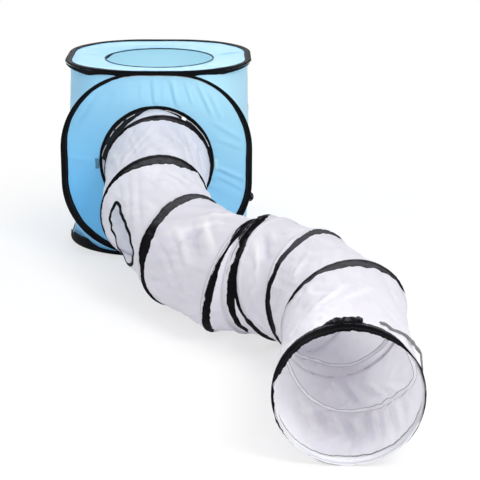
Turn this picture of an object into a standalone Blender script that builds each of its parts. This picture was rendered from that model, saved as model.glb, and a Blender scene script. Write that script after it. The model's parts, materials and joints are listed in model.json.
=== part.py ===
"""Pop-up cat cube with an S-shaped play tunnel tied to its front opening.

Four spring hoops, each a rounded square, carry the cube's panels.  Ten round
hoops carry the tunnel, which leaves the cube's front, comes down to the floor
and runs forward in two tied sections.  The origin is the middle of the cube's
floor panel, -Y is the cube's front, and +Z is up.
"""

import math

import bmesh
import bpy
from mathutils import Matrix, Vector

# Cube hoops: rounded squares of flat spring wire in folded tape
CUBE_WIDTH = 0.450
CUBE_DEPTH = 0.450
CUBE_HEIGHT = 0.450
HOOP_CORNER = 0.180
TAPE_WIDTH = 0.013
TAPE_THICKNESS = 0.006
TAPE_NOSE = 0.0016
TAPE_FLAT = 0.0013
TAPE_LIP = 0.0011
WIRE_INSET = 0.0030
WIRE_WIDTH = 0.0030
WIRE_THICKNESS = 0.0024

# Cloth
CLOTH = 0.001
GAP = 0.0003
SLEEVE_WALL = 0.0012
FLOOR_SLOPE = 0.030
GUSSET_TUCK = 0.0028

# Round openings in the cube's front and top
FRONT_OPENING_RADIUS = 0.124
FRONT_OPENING_HEIGHT = 0.230
TOP_OPENING_RADIUS = 0.124
OPENING_TAPE = 0.011
OPENING_FOLD = 0.0012

# Tunnel hoops: flat spring wire in a sewn sleeve
TUNNEL_RADIUS = 0.126
SLEEVE_WIDTH = 0.012
SLEEVE_DEPTH = 0.004
SLEEVE_CROWN = 0.001
TUNNEL_WIRE_WIDTH = 0.0044
TUNNEL_WIRE_THICKNESS = 0.0013
CLOTH_WAIST = 0.004
PEEPHOLE_CLOTH = "cloth_03_04"
PEEPHOLE_LENGTH = 0.092
PEEPHOLE_HEIGHT = 0.134
PEEPHOLE_TURN = 176.0
PEEPHOLE_TAPE = 0.006

# Small cloth parts
TAB_WIDTH = 0.009
TAB_HEIGHT = 0.024
STRAP_THICKNESS = 0.0015
STRAP_WIDTH = 0.009
LOOP_REACH = 0.0075
LOOP_HEIGHT = 0.024
LOOP_TURN = -12.0
KNOT_WIDTH = 0.046
KNOT_HEIGHT = 0.011
KNOT_EDGE = 0.003
TIE_LENGTH = 0.030
TAIL_BACK = 0.055
TAIL_WIDTH = 0.008
TAIL_LIFT = 0.0006
TAIL_START = 68.0
TAIL_END = 8.0
TAIL_STEPS = 6

# Room left between gathered hoops
GATHER_CLEAR = 0.004

# Faces round each hoop and opening, rows of cloth along the tunnel and in a gusset
TURNS = 20
CORNER_STEPS = 6
CLOTH_ROW = 0.120
GUSSET_STEPS = 10
GUSSET_SWEEPS = 4

# Each tunnel hoop: its middle to the right of the first hoop's and in front of it, its
# height or None on the floor, the way it faces (0 is the cube's front, positive to +X)
# and its lean back
HOOPS = [
    (0.000, 0.0000, FRONT_OPENING_HEIGHT, 0.0, 0.0),
    (0.006, 0.0497, 0.236, 12.0, -5.0),
    (0.004, 0.2077, 0.184, 20.0, -7.0),
    (0.072, 0.3327, None, 41.0, -2.0),
    (0.178, 0.4907, None, 60.0, -14.0),
    (0.225, 0.4917, None, 55.0, -3.0),
    (0.270, 0.5117, None, 47.0, 12.0),
    (0.330, 0.5917, None, 41.0, 6.0),
    (0.380, 0.7507, None, 16.0, -7.0),
    (0.356, 1.0887, None, -4.0, -1.0),
]

# The bend's far hoop rides with its near one; the next section starts behind it
ELBOW_HOOP = 5
JOINT_HOOP = 6

BLUE = (0.36, 0.70, 0.94)
WHITE = (0.86, 0.85, 0.92)
BLACK = (0.012, 0.012, 0.014)
STEEL = (0.55, 0.56, 0.58)


def material(name, colour, roughness, metallic=0.0):
    made = bpy.data.materials.new(name)
    made.use_nodes = True
    shader = made.node_tree.nodes["Principled BSDF"]
    shader.inputs["Base Color"].default_value = (*colour, 1.0)
    shader.inputs["Roughness"].default_value = roughness
    shader.inputs["Metallic"].default_value = metallic
    return made


def place(name, mesh, finish, parent=None, spot=None):
    """Put a mesh in the scene under its name, on its parent, with its origin at spot."""
    thing = bpy.data.objects.new(name, mesh)
    bpy.context.scene.collection.objects.link(thing)
    thing.parent = parent
    if spot is not None:
        thing.matrix_world = spot
    if finish is not None:
        mesh.materials.clear()
        mesh.materials.append(finish)
    return thing


def pivot(name, place_at, parent=None):
    """An empty on a joint's axis."""
    empty = bpy.data.objects.new(name, None)
    bpy.context.scene.collection.objects.link(empty)
    empty.parent = parent
    empty.location = Vector(place_at) - (parent.matrix_world.translation if parent else Vector())
    bpy.context.view_layer.update()
    return empty


def settle(work, name, smooth_angle=35.0):
    """Turn the faces of a finished bmesh outwards and make it a mesh."""
    bmesh.ops.recalc_face_normals(work, faces=work.faces[:])
    mesh = bpy.data.meshes.new(name)
    work.to_mesh(mesh)
    work.free()
    mesh.shade_smooth()
    mesh.set_sharp_from_angle(angle=math.radians(smooth_angle))
    return mesh


def join_loops(work, loops, closed):
    """Skin loops of equal length one to the next; closed joins the last to the first."""
    rows = [[work.verts.new(point) for point in loop] for loop in loops]
    pairs = list(zip(rows, rows[1:]))
    if closed:
        pairs.append((rows[-1], rows[0]))
    for near, far in pairs:
        for k in range(len(near)):
            after = (k + 1) % len(near)
            work.faces.new((near[k], near[after], far[after], far[k]))
    if not closed:
        work.faces.new(rows[0])
        work.faces.new(rows[-1])


def hoop_outline(half_width, half_height, corner):
    """Outline of a rounded rectangle as points with the way out at each."""
    points = []
    for turn in range(4):
        side = Vector((1 if turn in (0, 3) else -1, 1 if turn < 2 else -1))
        middle = Vector((side.x * (half_width - corner), side.y * (half_height - corner)))
        for step in range(CORNER_STEPS + 1):
            angle = math.radians(90 * (turn + step / CORNER_STEPS))
            way = Vector((math.cos(angle), math.sin(angle)))
            points.append((middle + corner * way, way))
    return points


def sweep_outline(outline, profile, name):
    """Carry a closed profile of (inward, across) sizes round an outline in the XZ plane."""
    work = bmesh.new()
    loops = []
    for point, way in outline:
        loop = []
        for inward, across in profile:
            spot = point - inward * way
            loop.append(Vector((spot.x, across, spot.y)))
        loops.append(loop)
    join_loops(work, loops, closed=True)
    return settle(work, name)


def turn_profile(profile, name):
    """Spin a closed profile of (radius, along) sizes once round Z."""
    work = bmesh.new()
    loops = []
    for step in range(TURNS):
        angle = 2 * math.pi * step / TURNS
        loops.append([Vector((r * math.cos(angle), r * math.sin(angle), z)) for r, z in profile])
    join_loops(work, loops, closed=True)
    return settle(work, name)


def folded_tape(width, thickness, mouth, pocket):
    """Half-closed fold of tape: open at its inner edge, with a pocket for the wire."""
    outer = thickness / 2
    tip = mouth + TAPE_LIP
    floor = TAPE_NOSE + TAPE_LIP
    return [
        (width, tip), (TAPE_NOSE, outer), (0.0, TAPE_FLAT), (0.0, -TAPE_FLAT), (TAPE_NOSE, -outer),
        (width, -tip), (width, -mouth), (floor, -pocket), (floor, pocket), (width, mouth),
    ]


def hoop_size(flat):
    """Half sizes of a hoop's outline: a lying hoop, or an upright one between two lying hoops."""
    if flat:
        return CUBE_WIDTH / 2, CUBE_DEPTH / 2
    return CUBE_WIDTH / 2, CUBE_HEIGHT / 2 - TAPE_THICKNESS - GAP


def hoop_meshes(flat, label):
    """Tape and spring wire of one cube hoop, in the XZ plane round the origin."""
    half_width, half_height = hoop_size(flat)
    outline = hoop_outline(half_width, half_height, HOOP_CORNER)
    mouth = CLOTH / 2 + GAP
    pocket = WIRE_THICKNESS / 2 + 2 * GAP
    tape = folded_tape(TAPE_WIDTH, TAPE_THICKNESS, mouth, pocket)
    start = WIRE_INSET
    end = WIRE_INSET + WIRE_WIDTH
    half = WIRE_THICKNESS / 2
    strip = [(start, half), (start, -half), (end, -half), (end, half)]
    return sweep_outline(outline, tape, "tape_" + label), sweep_outline(outline, strip, "wire_" + label)


def panel_mesh(flat, label):
    """Flat cloth panel in the XZ plane, tucked into the mouth of its hoop's tape."""
    half_width, half_height = hoop_size(flat)
    tuck = WIRE_INSET + WIRE_WIDTH + GAP
    outline = hoop_outline(half_width - tuck, half_height - tuck, HOOP_CORNER - tuck)
    work = bmesh.new()
    loops = []
    for side in (-CLOTH / 2, CLOTH / 2):
        loops.append([Vector((point.x, side, point.y)) for point, way in outline])
    join_loops(work, loops, closed=False)
    return settle(work, "panel_" + label)


def floor_mesh():
    """Floor panel: its edge tucked in the tape, its middle flat on the ground."""
    half_width, half_depth = hoop_size(True)
    level = TAPE_THICKNESS / 2 - CLOTH / 2
    tuck = WIRE_INSET + WIRE_WIDTH + GAP
    rows = [(tuck, level), (TAPE_WIDTH + 2 * GAP, level), (TAPE_WIDTH + FLOOR_SLOPE, 0.0)]
    work = bmesh.new()
    loops = []
    for inset, height in rows[::-1]:
        outline = hoop_outline(half_width - inset, half_depth - inset, HOOP_CORNER - inset)
        loops.append([Vector((point.x, point.y, height)) for point, way in outline])
    for inset, height in rows:
        outline = hoop_outline(half_width - inset, half_depth - inset, HOOP_CORNER - inset)
        loops.append([Vector((point.x, point.y, height + CLOTH)) for point, way in outline])
    join_loops(work, loops, closed=False)
    return settle(work, "panel_floor")


def cut_round(thing, radius, height, name):
    """Cut a round opening through a panel that lies in its own XZ plane."""
    work = bmesh.new()
    bmesh.ops.create_cone(work, cap_ends=True, segments=TURNS, radius1=radius, radius2=radius, depth=radius,
                          matrix=Matrix.Rotation(math.radians(90), 4, "X"))
    mesh = bpy.data.meshes.new(name)
    work.to_mesh(mesh)
    work.free()
    cutter = place(name, mesh, None, thing)
    cutter.location = (0.0, 0.0, height)
    cutter.hide_render = True
    cutter.display_type = "WIRE"
    cut = thing.modifiers.new("opening", "BOOLEAN")
    cut.operation = "DIFFERENCE"
    cut.solver = "EXACT"
    cut.object = cutter


def opening_tape_mesh(radius, label):
    """Folded tape round an opening's edge, its mouth outwards over the cloth."""
    mouth = CLOTH / 2 + GAP
    tip = mouth + SLEEVE_WALL / 2
    fold = radius + OPENING_FOLD
    back = fold + SLEEVE_WALL
    profile = [
        (radius + OPENING_TAPE, tip), (fold, mouth + SLEEVE_WALL), (radius, 0.0),
        (fold, -mouth - SLEEVE_WALL), (radius + OPENING_TAPE, -tip),
        (radius + OPENING_TAPE, -mouth), (back, -mouth), (back, mouth), (radius + OPENING_TAPE, mouth),
    ]
    return turn_profile(profile, "opening_tape_" + label)


def gusset_mesh():
    """Side cloth between the four hoops: straight from hoop to hoop, then eased where threads cross."""
    across = hoop_size(True)[0]
    half_y = CUBE_DEPTH / 2 - TAPE_THICKNESS - GAP
    half_z = CUBE_HEIGHT / 2 - TAPE_THICKNESS - 2 * GAP
    steps = GUSSET_STEPS
    span = math.pi * HOOP_CORNER + 2 * (across - HOOP_CORNER)

    def along(part, half):
        """Reach and height of the hoop's outline, part of the way down its side."""
        walked = part * span - span / 2
        straight = across - HOOP_CORNER
        if abs(walked) <= straight:
            return across, walked * half / across
        angle = (abs(walked) - straight) / HOOP_CORNER
        height = (straight + HOOP_CORNER * math.sin(angle)) * half / across
        return straight + HOOP_CORNER * math.cos(angle), math.copysign(height, walked)

    ys = [along(i / steps, half_y)[1] for i in range(steps + 1)]
    zs = [along(i / steps, half_z)[1] for i in range(steps + 1)]
    reach = [[max(along(i / steps, half_y)[0], along(j / steps, half_z)[0])
              for j in range(steps + 1)] for i in range(steps + 1)]
    for sweep in range(GUSSET_SWEEPS):
        before = [row[:] for row in reach]
        for i in range(1, steps):
            for j in range(1, steps):
                around = before[i - 1][j] + before[i + 1][j] + before[i][j - 1] + before[i][j + 1]
                reach[i][j] = (before[i][j] + around / 4) / 2
    work = bmesh.new()
    sides = []
    for depth in (GUSSET_TUCK, GUSSET_TUCK + CLOTH):
        sides.append([[work.verts.new((reach[i][j] - depth, ys[i], zs[j] + CUBE_HEIGHT / 2))
                       for j in range(steps + 1)] for i in range(steps + 1)])
    for rows in sides:
        for i in range(steps):
            for j in range(steps):
                work.faces.new((rows[i][j], rows[i + 1][j], rows[i + 1][j + 1], rows[i][j + 1]))
    rim = [(i, 0) for i in range(steps)] + [(steps, j) for j in range(steps)]
    rim += [(i, steps) for i in range(steps, 0, -1)] + [(0, j) for j in range(steps, 0, -1)]
    for (i, j), (k, m) in zip(rim, rim[1:] + rim[:1]):
        work.faces.new((sides[0][i][j], sides[0][k][m], sides[1][k][m], sides[1][i][j]))
    return settle(work, "gusset", 60.0)


def first_hoop_ahead():
    """How far in front of the cube's middle the first hoop stands: its sleeve against the opening's tape."""
    tape_face = CUBE_DEPTH / 2 - TAPE_THICKNESS / 2 + CLOTH / 2 + GAP + SLEEVE_WALL
    return tape_face + GAP + SLEEVE_WIDTH / 2


def hoop_frame(number):
    """Middle, right, up and forward directions of a tunnel hoop."""
    x, ahead, height, yaw, lean = HOOPS[number]
    yaw = math.radians(yaw)
    lean = math.radians(lean)
    if height is None:
        crown = TUNNEL_RADIUS * math.cos(lean)
        hem = (TUNNEL_RADIUS - SLEEVE_CROWN) * math.cos(lean) + SLEEVE_WIDTH / 2 * math.sin(abs(lean))
        height = max(crown, hem)
    forward = Vector((math.sin(yaw) * math.cos(lean), -math.cos(yaw) * math.cos(lean), math.sin(lean)))
    right = Vector((math.cos(yaw), math.sin(yaw), 0.0))
    middle = Vector((x, -first_hoop_ahead() - ahead, height))
    return middle, right, forward.cross(right), forward


def hoop_matrix(number):
    """A tunnel hoop's own frame: X to its right, Y up, Z forward along the tunnel."""
    middle, right, up, forward = hoop_frame(number)
    turn = Matrix((right, up, right.cross(up))).transposed().to_4x4()
    return Matrix.Translation(middle) @ turn


def sleeve_mesh():
    """Sleeve round a tunnel hoop: a crowned band with two hems, open towards the cloth."""
    half = SLEEVE_WIDTH / 2
    inner = TUNNEL_RADIUS - SLEEVE_DEPTH
    roof = inner + TUNNEL_WIRE_THICKNESS + 2 * GAP
    shoulder = TUNNEL_RADIUS - SLEEVE_CROWN
    profile = [
        (inner, half), (shoulder, half), (TUNNEL_RADIUS, 0.0), (shoulder, -half), (inner, -half),
        (inner, SLEEVE_WALL - half), (roof, SLEEVE_WALL - half), (roof, half - SLEEVE_WALL),
        (inner, half - SLEEVE_WALL),
    ]
    return turn_profile(profile, "sleeve")


def tunnel_wire_mesh():
    """Flat spring wire under the sleeve's roof."""
    low = TUNNEL_RADIUS - SLEEVE_DEPTH + GAP
    high = low + TUNNEL_WIRE_THICKNESS
    half = TUNNEL_WIRE_WIDTH / 2
    return turn_profile([(low, half), (high, half), (high, -half), (low, -half)], "tunnel_wire")


def cloth_point(first, part, turn, out=0.0):
    """A point on the tunnel cloth between a hoop and the next, and the way out there."""
    near, near_right, near_up, near_forward = hoop_frame(first)
    far, far_right, far_up, far_forward = hoop_frame(first + 1)
    radius = TUNNEL_RADIUS - SLEEVE_DEPTH - GAP
    near_way = near_right * math.cos(turn) + near_up * math.sin(turn)
    far_way = far_right * math.cos(turn) + far_up * math.sin(turn)
    clear = SLEEVE_WIDTH / 2 + GAP
    start = near + radius * near_way + clear * near_forward
    end = far + radius * far_way - clear * far_forward
    way = near_way.lerp(far_way, part).normalized()
    waist = CLOTH_WAIST * 4 * part * (1 - part)
    return start.lerp(end, part) + way * (out - waist), way


def cloth_rows(first):
    """Rings of cloth points from under one sleeve to under the next, outer side."""
    near, near_right, near_up, near_forward = hoop_frame(first)
    far, far_right, far_up, far_forward = hoop_frame(first + 1)
    radius = TUNNEL_RADIUS - SLEEVE_DEPTH - GAP
    divisions = math.ceil((far - near).length / CLOTH_ROW)
    angles = [2 * math.pi * k / TURNS for k in range(TURNS)]
    rows = []
    ring = []
    for turn in angles:
        way = near_right * math.cos(turn) + near_up * math.sin(turn)
        ring.append((near + radius * way + GAP / 2 * near_forward, way))
    rows.append(ring)
    for division in range(divisions + 1):
        rows.append([cloth_point(first, division / divisions, turn) for turn in angles])
    ring = []
    for turn in angles:
        way = far_right * math.cos(turn) + far_up * math.sin(turn)
        ring.append((far + radius * way - GAP / 2 * far_forward, way))
    rows.append(ring)
    return rows


def cloth_mesh(first):
    """Tunnel cloth between two hoops, an open tube of one cloth's thickness."""
    rows = cloth_rows(first)
    loops = [[point for point, way in row] for row in rows]
    loops += [[point - CLOTH * way for point, way in row] for row in rows[::-1]]
    work = bmesh.new()
    join_loops(work, loops, closed=True)
    return settle(work, "cloth", 60.0)


def peephole_loop(first, margin, out):
    """Edge of the peephole on the cloth's surface, drawn in by margin and lifted by out."""
    length = (hoop_frame(first + 1)[0] - hoop_frame(first)[0]).length
    radius = TUNNEL_RADIUS - SLEEVE_DEPTH
    points = []
    for step in range(TURNS):
        angle = 2 * math.pi * step / TURNS
        part = 0.5 + (PEEPHOLE_LENGTH / 2 - margin) / length * math.cos(angle)
        turn = math.radians(PEEPHOLE_TURN) + (PEEPHOLE_HEIGHT / 2 - margin) / radius * math.sin(angle)
        points.append(cloth_point(first, part, turn, out)[0])
    return points


def peephole_tape_mesh(first):
    """Tape that binds the peephole's edge, thicker than the cloth on both sides."""
    work = bmesh.new()
    proud = SLEEVE_WALL
    edge = 2 * GAP
    loops = []
    for margin, out in ((edge, proud), (edge, -CLOTH - proud), (PEEPHOLE_TAPE, -CLOTH), (PEEPHOLE_TAPE, 0.0)):
        loops.append(peephole_loop(first, margin, out))
    join_loops(work, loops, closed=True)
    return settle(work, "peephole_tape")


def cut_peephole(thing, first):
    """Cut the peephole through the cloth that carries it."""
    work = bmesh.new()
    reach = PEEPHOLE_HEIGHT / 4
    near = 4 * SLEEVE_WALL
    join_loops(work, [peephole_loop(first, 0.0, out) for out in (-reach, -near, near, reach)], closed=False)
    cutter = place("peephole_cutter", settle(work, "peephole_cutter"), None)
    cutter.hide_render = True
    cutter.display_type = "WIRE"
    cut = thing.modifiers.new("peephole", "BOOLEAN")
    cut.operation = "DIFFERENCE"
    cut.solver = "EXACT"
    cut.object = cutter


def gather_pivot(number):
    """Upright axis about which a hoop swings until it faces the way its neighbour does."""
    spacing = gather_spacing(number)
    near, near_right, near_up, near_forward = hoop_frame(number - 1)
    far = hoop_frame(number)[0]
    ahead = Vector((near_forward.x, near_forward.y)).normalized()
    target = Vector((near.x, near.y)) + spacing * ahead
    turn = math.radians(HOOPS[number - 1][3] - HOOPS[number][3])
    c, s = math.cos(turn), math.sin(turn)
    start = Vector((far.x, far.y))
    moved = Vector((target.x - (c * start.x - s * start.y), target.y - (s * start.x + c * start.y)))
    scale = 2 * (1 - c)
    x = ((1 - c) * moved.x - s * moved.y) / scale
    y = (s * moved.x + (1 - c) * moved.y) / scale
    return Vector((x, y, 0.0)), math.degrees(turn)


def gather_spacing(number):
    """Distance between two gathered hoops: a sleeve's width, more where their leans differ."""
    lean = math.radians(abs(HOOPS[number][4] - HOOPS[number - 1][4]))
    return SLEEVE_WIDTH + TUNNEL_RADIUS * math.sin(lean) + GATHER_CLEAR


def loop_mesh():
    """Elastic loop that holds the folded cube shut: a flat half ring standing on the tape."""
    work = bmesh.new()
    outer = []
    inner = []
    for step in range(9):
        angle = math.pi * (step / 8 - 0.5)
        outer.append((LOOP_REACH * math.cos(angle), LOOP_HEIGHT / 2 * math.sin(angle)))
        reach = LOOP_REACH - STRAP_THICKNESS
        height = LOOP_HEIGHT / 2 - STRAP_THICKNESS
        inner.append((reach * math.cos(angle), height * math.sin(angle)))
    outline = outer + inner[::-1]
    half = TAPE_THICKNESS / 2
    loops = [[Vector((x, side, z)) for x, z in outline] for side in (-half, half)]
    join_loops(work, loops, closed=False)
    return settle(work, "storage_loop")


def block_mesh(size, bevel, name):
    """A block with rounded edges, centred on its origin."""
    work = bmesh.new()
    bmesh.ops.create_cube(work, size=1.0, matrix=Matrix.Diagonal((*size, 1.0)))
    if bevel > 0:
        bmesh.ops.bevel(work, geom=work.edges[:], offset=bevel, segments=2, profile=0.5, affect="EDGES")
    return settle(work, name)


def tail_mesh():
    """Ribbon's tail on the cloth behind the front rim, from near its top down its right side."""
    first = len(HOOPS) - 2
    length = (hoop_frame(first + 1)[0] - hoop_frame(first)[0]).length
    loops = []
    for step in range(TAIL_STEPS + 1):
        turn = math.radians(TAIL_START + (TAIL_END - TAIL_START) * step / TAIL_STEPS)
        loop = []
        for side, out in ((-1, GAP), (1, GAP), (1, GAP + CLOTH), (-1, GAP + CLOTH)):
            part = 1 - (TAIL_BACK + side * TAIL_WIDTH / 2) / length
            loop.append(cloth_point(first, part, turn, out + TAIL_LIFT)[0])
        loops.append(loop)
    work = bmesh.new()
    join_loops(work, loops, closed=False)
    return settle(work, "tie_tail")


def hoop_top(number):
    """Highest point of a tunnel hoop's sleeve."""
    middle, right, up, forward = hoop_frame(number)
    return middle + TUNNEL_RADIUS * up


def swing_point():
    """Middle of the tie over the tops of the two hoops where the sections meet."""
    near = hoop_top(ELBOW_HOOP)
    far = hoop_top(JOINT_HOOP)
    level = max(near.z, far.z) + GAP + STRAP_THICKNESS / 2
    return Vector(((near.x + far.x) / 2, (near.y + far.y) / 2, level))


def clear_scene():
    for thing in list(bpy.data.objects):
        bpy.data.objects.remove(thing, do_unlink=True)


def build_cube(blue, black, steel):
    """The four hoops with their panels and openings, and the two side gussets."""
    fold_level = TAPE_THICKNESS + GAP
    front_y = -CUBE_DEPTH / 2 + TAPE_THICKNESS / 2
    upright = Matrix.Rotation(math.radians(90), 4, "X")
    base = pivot("base", (0, 0, 0))
    front = pivot("front_fold", (0, front_y + TAPE_THICKNESS / 2, fold_level), base)
    top = pivot("top_fold", (0, -CUBE_DEPTH / 2, CUBE_HEIGHT - fold_level), front)
    back = pivot("back_fold", (0, CUBE_DEPTH / 2, fold_level), base)
    flat_tape, flat_wire = hoop_meshes(True, "flat")
    stood_tape, stood_wire = hoop_meshes(False, "upright")
    spots = {
        "bottom": (base, Matrix.Translation((0, 0, TAPE_THICKNESS / 2)) @ upright),
        "front": (front, Matrix.Translation((0, front_y, CUBE_HEIGHT / 2))),
        "back": (back, Matrix.Translation((0, -front_y, CUBE_HEIGHT / 2))),
        "top": (top, Matrix.Translation((0, 0, CUBE_HEIGHT - TAPE_THICKNESS / 2)) @ upright),
    }
    for side, (carrier, spot) in spots.items():
        flat = side in ("bottom", "top")
        place("hoop_tape_" + side, flat_tape if flat else stood_tape, black, carrier, spot)
        place("hoop_wire_" + side, flat_wire if flat else stood_wire, steel, carrier, spot)
    place("panel_bottom", floor_mesh(), blue, base, Matrix.Identity(4))
    panels = {}
    for side in ("front", "back", "top"):
        carrier, spot = spots[side]
        panels[side] = place("panel_" + side, panel_mesh(side == "top", side), blue, carrier, spot)
    lift = FRONT_OPENING_HEIGHT - CUBE_HEIGHT / 2
    cut_edge = OPENING_FOLD + SLEEVE_WALL + GAP
    cut_round(panels["front"], FRONT_OPENING_RADIUS + cut_edge, lift, "front_cutter")
    cut_round(panels["top"], TOP_OPENING_RADIUS + cut_edge, 0.0, "top_cutter")
    front_spot = spots["front"][1] @ Matrix.Translation((0, 0, lift))
    front_tape = opening_tape_mesh(FRONT_OPENING_RADIUS, "front")
    place("opening_tape_front", front_tape, black, front, front_spot @ upright)
    top_tape = opening_tape_mesh(TOP_OPENING_RADIUS, "top")
    place("opening_tape_top", top_tape, black, top, spots["top"][1] @ upright)
    tab = block_mesh((TAB_WIDTH, STRAP_THICKNESS, TAB_HEIGHT), 0.0, "tab")
    reach = FRONT_OPENING_RADIUS + OPENING_TAPE + GAP + TAB_WIDTH / 2
    proud = -(CLOTH / 2 + GAP + STRAP_THICKNESS / 2)
    for side, name in ((-1, "tie_tab_left"), (1, "tie_tab_right")):
        place(name, tab, black, front, front_spot @ Matrix.Translation((side * reach, proud, 0)))
    half_width, half_height = hoop_size(False)
    turn = math.radians(LOOP_TURN)
    corner = Vector((half_width - HOOP_CORNER, 0, HOOP_CORNER - half_height))
    edge = corner + (HOOP_CORNER + GAP) * Vector((math.cos(turn), 0, math.sin(turn)))
    loop_spot = spots["front"][1] @ Matrix.Translation(edge) @ Matrix.Rotation(-turn, 4, "Y")
    place("storage_loop", loop_mesh(), black, front, loop_spot)
    gusset = gusset_mesh()
    place("gusset_right", gusset, blue, base, Matrix.Identity(4))
    mirrored = gusset.copy()
    mirrored.transform(Matrix.Scale(-1, 4, (1, 0, 0)))
    mirrored.flip_normals()
    place("gusset_left", mirrored, blue, base, Matrix.Identity(4))
    return base


def build_tunnel(base, white, black, steel):
    """Ten hoops in their sleeves, the cloth between them, the peephole and the ties."""
    sleeve = sleeve_mesh()
    wire = tunnel_wire_mesh()
    carrier = pivot("tunnel_pull", hoop_frame(0)[0], base)
    for number in range(len(HOOPS)):
        if number == JOINT_HOOP:
            carrier = pivot("section_swing", swing_point(), carrier)
        elif number > 0 and number != ELBOW_HOOP:
            carrier = pivot("gather_%02d" % (number + 1), gather_pivot(number)[0], carrier)
        spot = hoop_matrix(number)
        place("sleeve_%02d" % (number + 1), sleeve, black, carrier, spot)
        place("wire_%02d" % (number + 1), wire, steel, carrier, spot)
        if number + 1 < len(HOOPS):
            name = "cloth_%02d_%02d" % (number + 1, number + 2)
            cloth = place(name, cloth_mesh(number), white, carrier, Matrix.Identity(4))
            if name == PEEPHOLE_CLOTH:
                cut_peephole(cloth, number)
                place("peephole_tape", peephole_tape_mesh(number), black, carrier, Matrix.Identity(4))
        if number == ELBOW_HOOP:
            tie = block_mesh((TIE_LENGTH, STRAP_WIDTH, STRAP_THICKNESS), 0.0, "section_tie")
            way = hoop_top(JOINT_HOOP) - hoop_top(ELBOW_HOOP)
            turn = Matrix.Rotation(math.atan2(way.y, way.x), 4, "Z")
            place("section_tie", tie, black, carrier, Matrix.Translation(swing_point()) @ turn)
    rim = hoop_matrix(len(HOOPS) - 1)
    knot = block_mesh((KNOT_WIDTH, KNOT_HEIGHT, SLEEVE_WIDTH), KNOT_EDGE, "tie_knot")
    seat = TUNNEL_RADIUS + GAP + KNOT_HEIGHT / 2
    place("tie_knot", knot, black, carrier, rim @ Matrix.Translation((0, seat, 0)))
    place("tie_tail", tail_mesh(), black, carrier, Matrix.Identity(4))


def main():
    clear_scene()
    blue = material("blue polyester", BLUE, 0.42)
    white = material("white polyester", WHITE, 0.5)
    black = material("black tape", BLACK, 0.6)
    steel = material("spring steel", STEEL, 0.3, 1.0)
    base = build_cube(blue, black, steel)
    build_tunnel(base, white, black, steel)


main()
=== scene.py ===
# %% [markdown]
# # A pop-up cat cube and its tunnel
#
# The solid model of the cube and tunnel is already made and stays fixed. This lesson
# dresses it: thin cloth, folded tape, stitches and ties take the place of the plain
# solids. Each new piece rides on the body that carries it, except pieces on tunnel cloth whose two hoops lie
# on different bodies, which stay where they are made.

# %% Load the fixed model
import json
import math

import bmesh
import bpy
import numpy as np
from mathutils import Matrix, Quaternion, Vector, noise

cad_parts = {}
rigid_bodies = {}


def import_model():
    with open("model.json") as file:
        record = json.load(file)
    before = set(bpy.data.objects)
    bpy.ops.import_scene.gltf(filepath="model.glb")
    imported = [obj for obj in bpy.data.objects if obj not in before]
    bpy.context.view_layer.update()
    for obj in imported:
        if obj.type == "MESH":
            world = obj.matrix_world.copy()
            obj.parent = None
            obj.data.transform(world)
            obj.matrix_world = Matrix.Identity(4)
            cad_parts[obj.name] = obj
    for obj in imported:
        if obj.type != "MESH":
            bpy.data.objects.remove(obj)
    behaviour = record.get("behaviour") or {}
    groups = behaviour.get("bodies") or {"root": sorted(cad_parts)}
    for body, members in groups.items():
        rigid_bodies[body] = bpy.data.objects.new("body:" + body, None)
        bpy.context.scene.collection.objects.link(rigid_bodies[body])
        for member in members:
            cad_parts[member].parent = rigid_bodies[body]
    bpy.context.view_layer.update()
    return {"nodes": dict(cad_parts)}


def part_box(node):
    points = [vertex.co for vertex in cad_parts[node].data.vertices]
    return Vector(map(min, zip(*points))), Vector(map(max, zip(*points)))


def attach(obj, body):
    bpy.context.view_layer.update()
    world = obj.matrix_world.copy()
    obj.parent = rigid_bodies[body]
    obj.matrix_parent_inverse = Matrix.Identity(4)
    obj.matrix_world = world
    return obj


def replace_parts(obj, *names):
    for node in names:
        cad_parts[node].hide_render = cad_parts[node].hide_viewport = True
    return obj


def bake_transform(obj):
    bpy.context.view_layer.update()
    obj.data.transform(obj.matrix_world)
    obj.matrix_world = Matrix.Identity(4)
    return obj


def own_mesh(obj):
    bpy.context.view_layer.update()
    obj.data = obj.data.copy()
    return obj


for thing in list(bpy.data.objects):
    bpy.data.objects.remove(thing, do_unlink=True)
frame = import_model()

# %% [markdown]
# ## Maths for finishes
#
# A shader is a small sum. Wrapping each socket in a class that knows + - * / lets the sum be
# written as one line of Python, and every step becomes a Math node. One method makes any
# other node, so a finish reads from top to bottom like a recipe.

# %% A socket that can be added and multiplied
class Wire:
    """An output socket of a finish's tree, with arithmetic as Math nodes."""

    def __init__(self, finish, socket):
        self.finish, self.socket = finish, socket

    def maths(self, operation, *values):
        """A Math node over these values."""
        return self.finish.node("ShaderNodeMath", {"operation": operation}, dict(enumerate(values)))

    def __add__(self, other):
        return self.maths("ADD", self, other)

    def __radd__(self, other):
        return self.maths("ADD", other, self)

    def __sub__(self, other):
        return self.maths("SUBTRACT", self, other)

    def __rsub__(self, other):
        return self.maths("SUBTRACT", other, self)

    def __mul__(self, other):
        return self.maths("MULTIPLY", self, other)

    def __rmul__(self, other):
        return self.maths("MULTIPLY", other, self)

    def __truediv__(self, other):
        return self.maths("DIVIDE", self, other)

    def __rtruediv__(self, other):
        return self.maths("DIVIDE", other, self)

    def __pow__(self, other):
        return self.maths("POWER", self, other)

    def sine(self):
        """The sine of this value."""
        return self.maths("SINE", self)

    def size(self):
        """This value without its sign."""
        return self.maths("ABSOLUTE", self)

    def part(self):
        """What this value has past its last whole number."""
        return self.maths("FRACT", self)

    def ramp(self, low, high, to_low=0.0, to_high=1.0):
        """This value's place between low and high, eased at both ends."""
        return self.finish.node("ShaderNodeMapRange", {"interpolation_type": "SMOOTHSTEP"},
                                {"Value": self, "From Min": low, "From Max": high,
                                 "To Min": to_low, "To Max": to_high})


print("sockets can be added")

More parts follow.
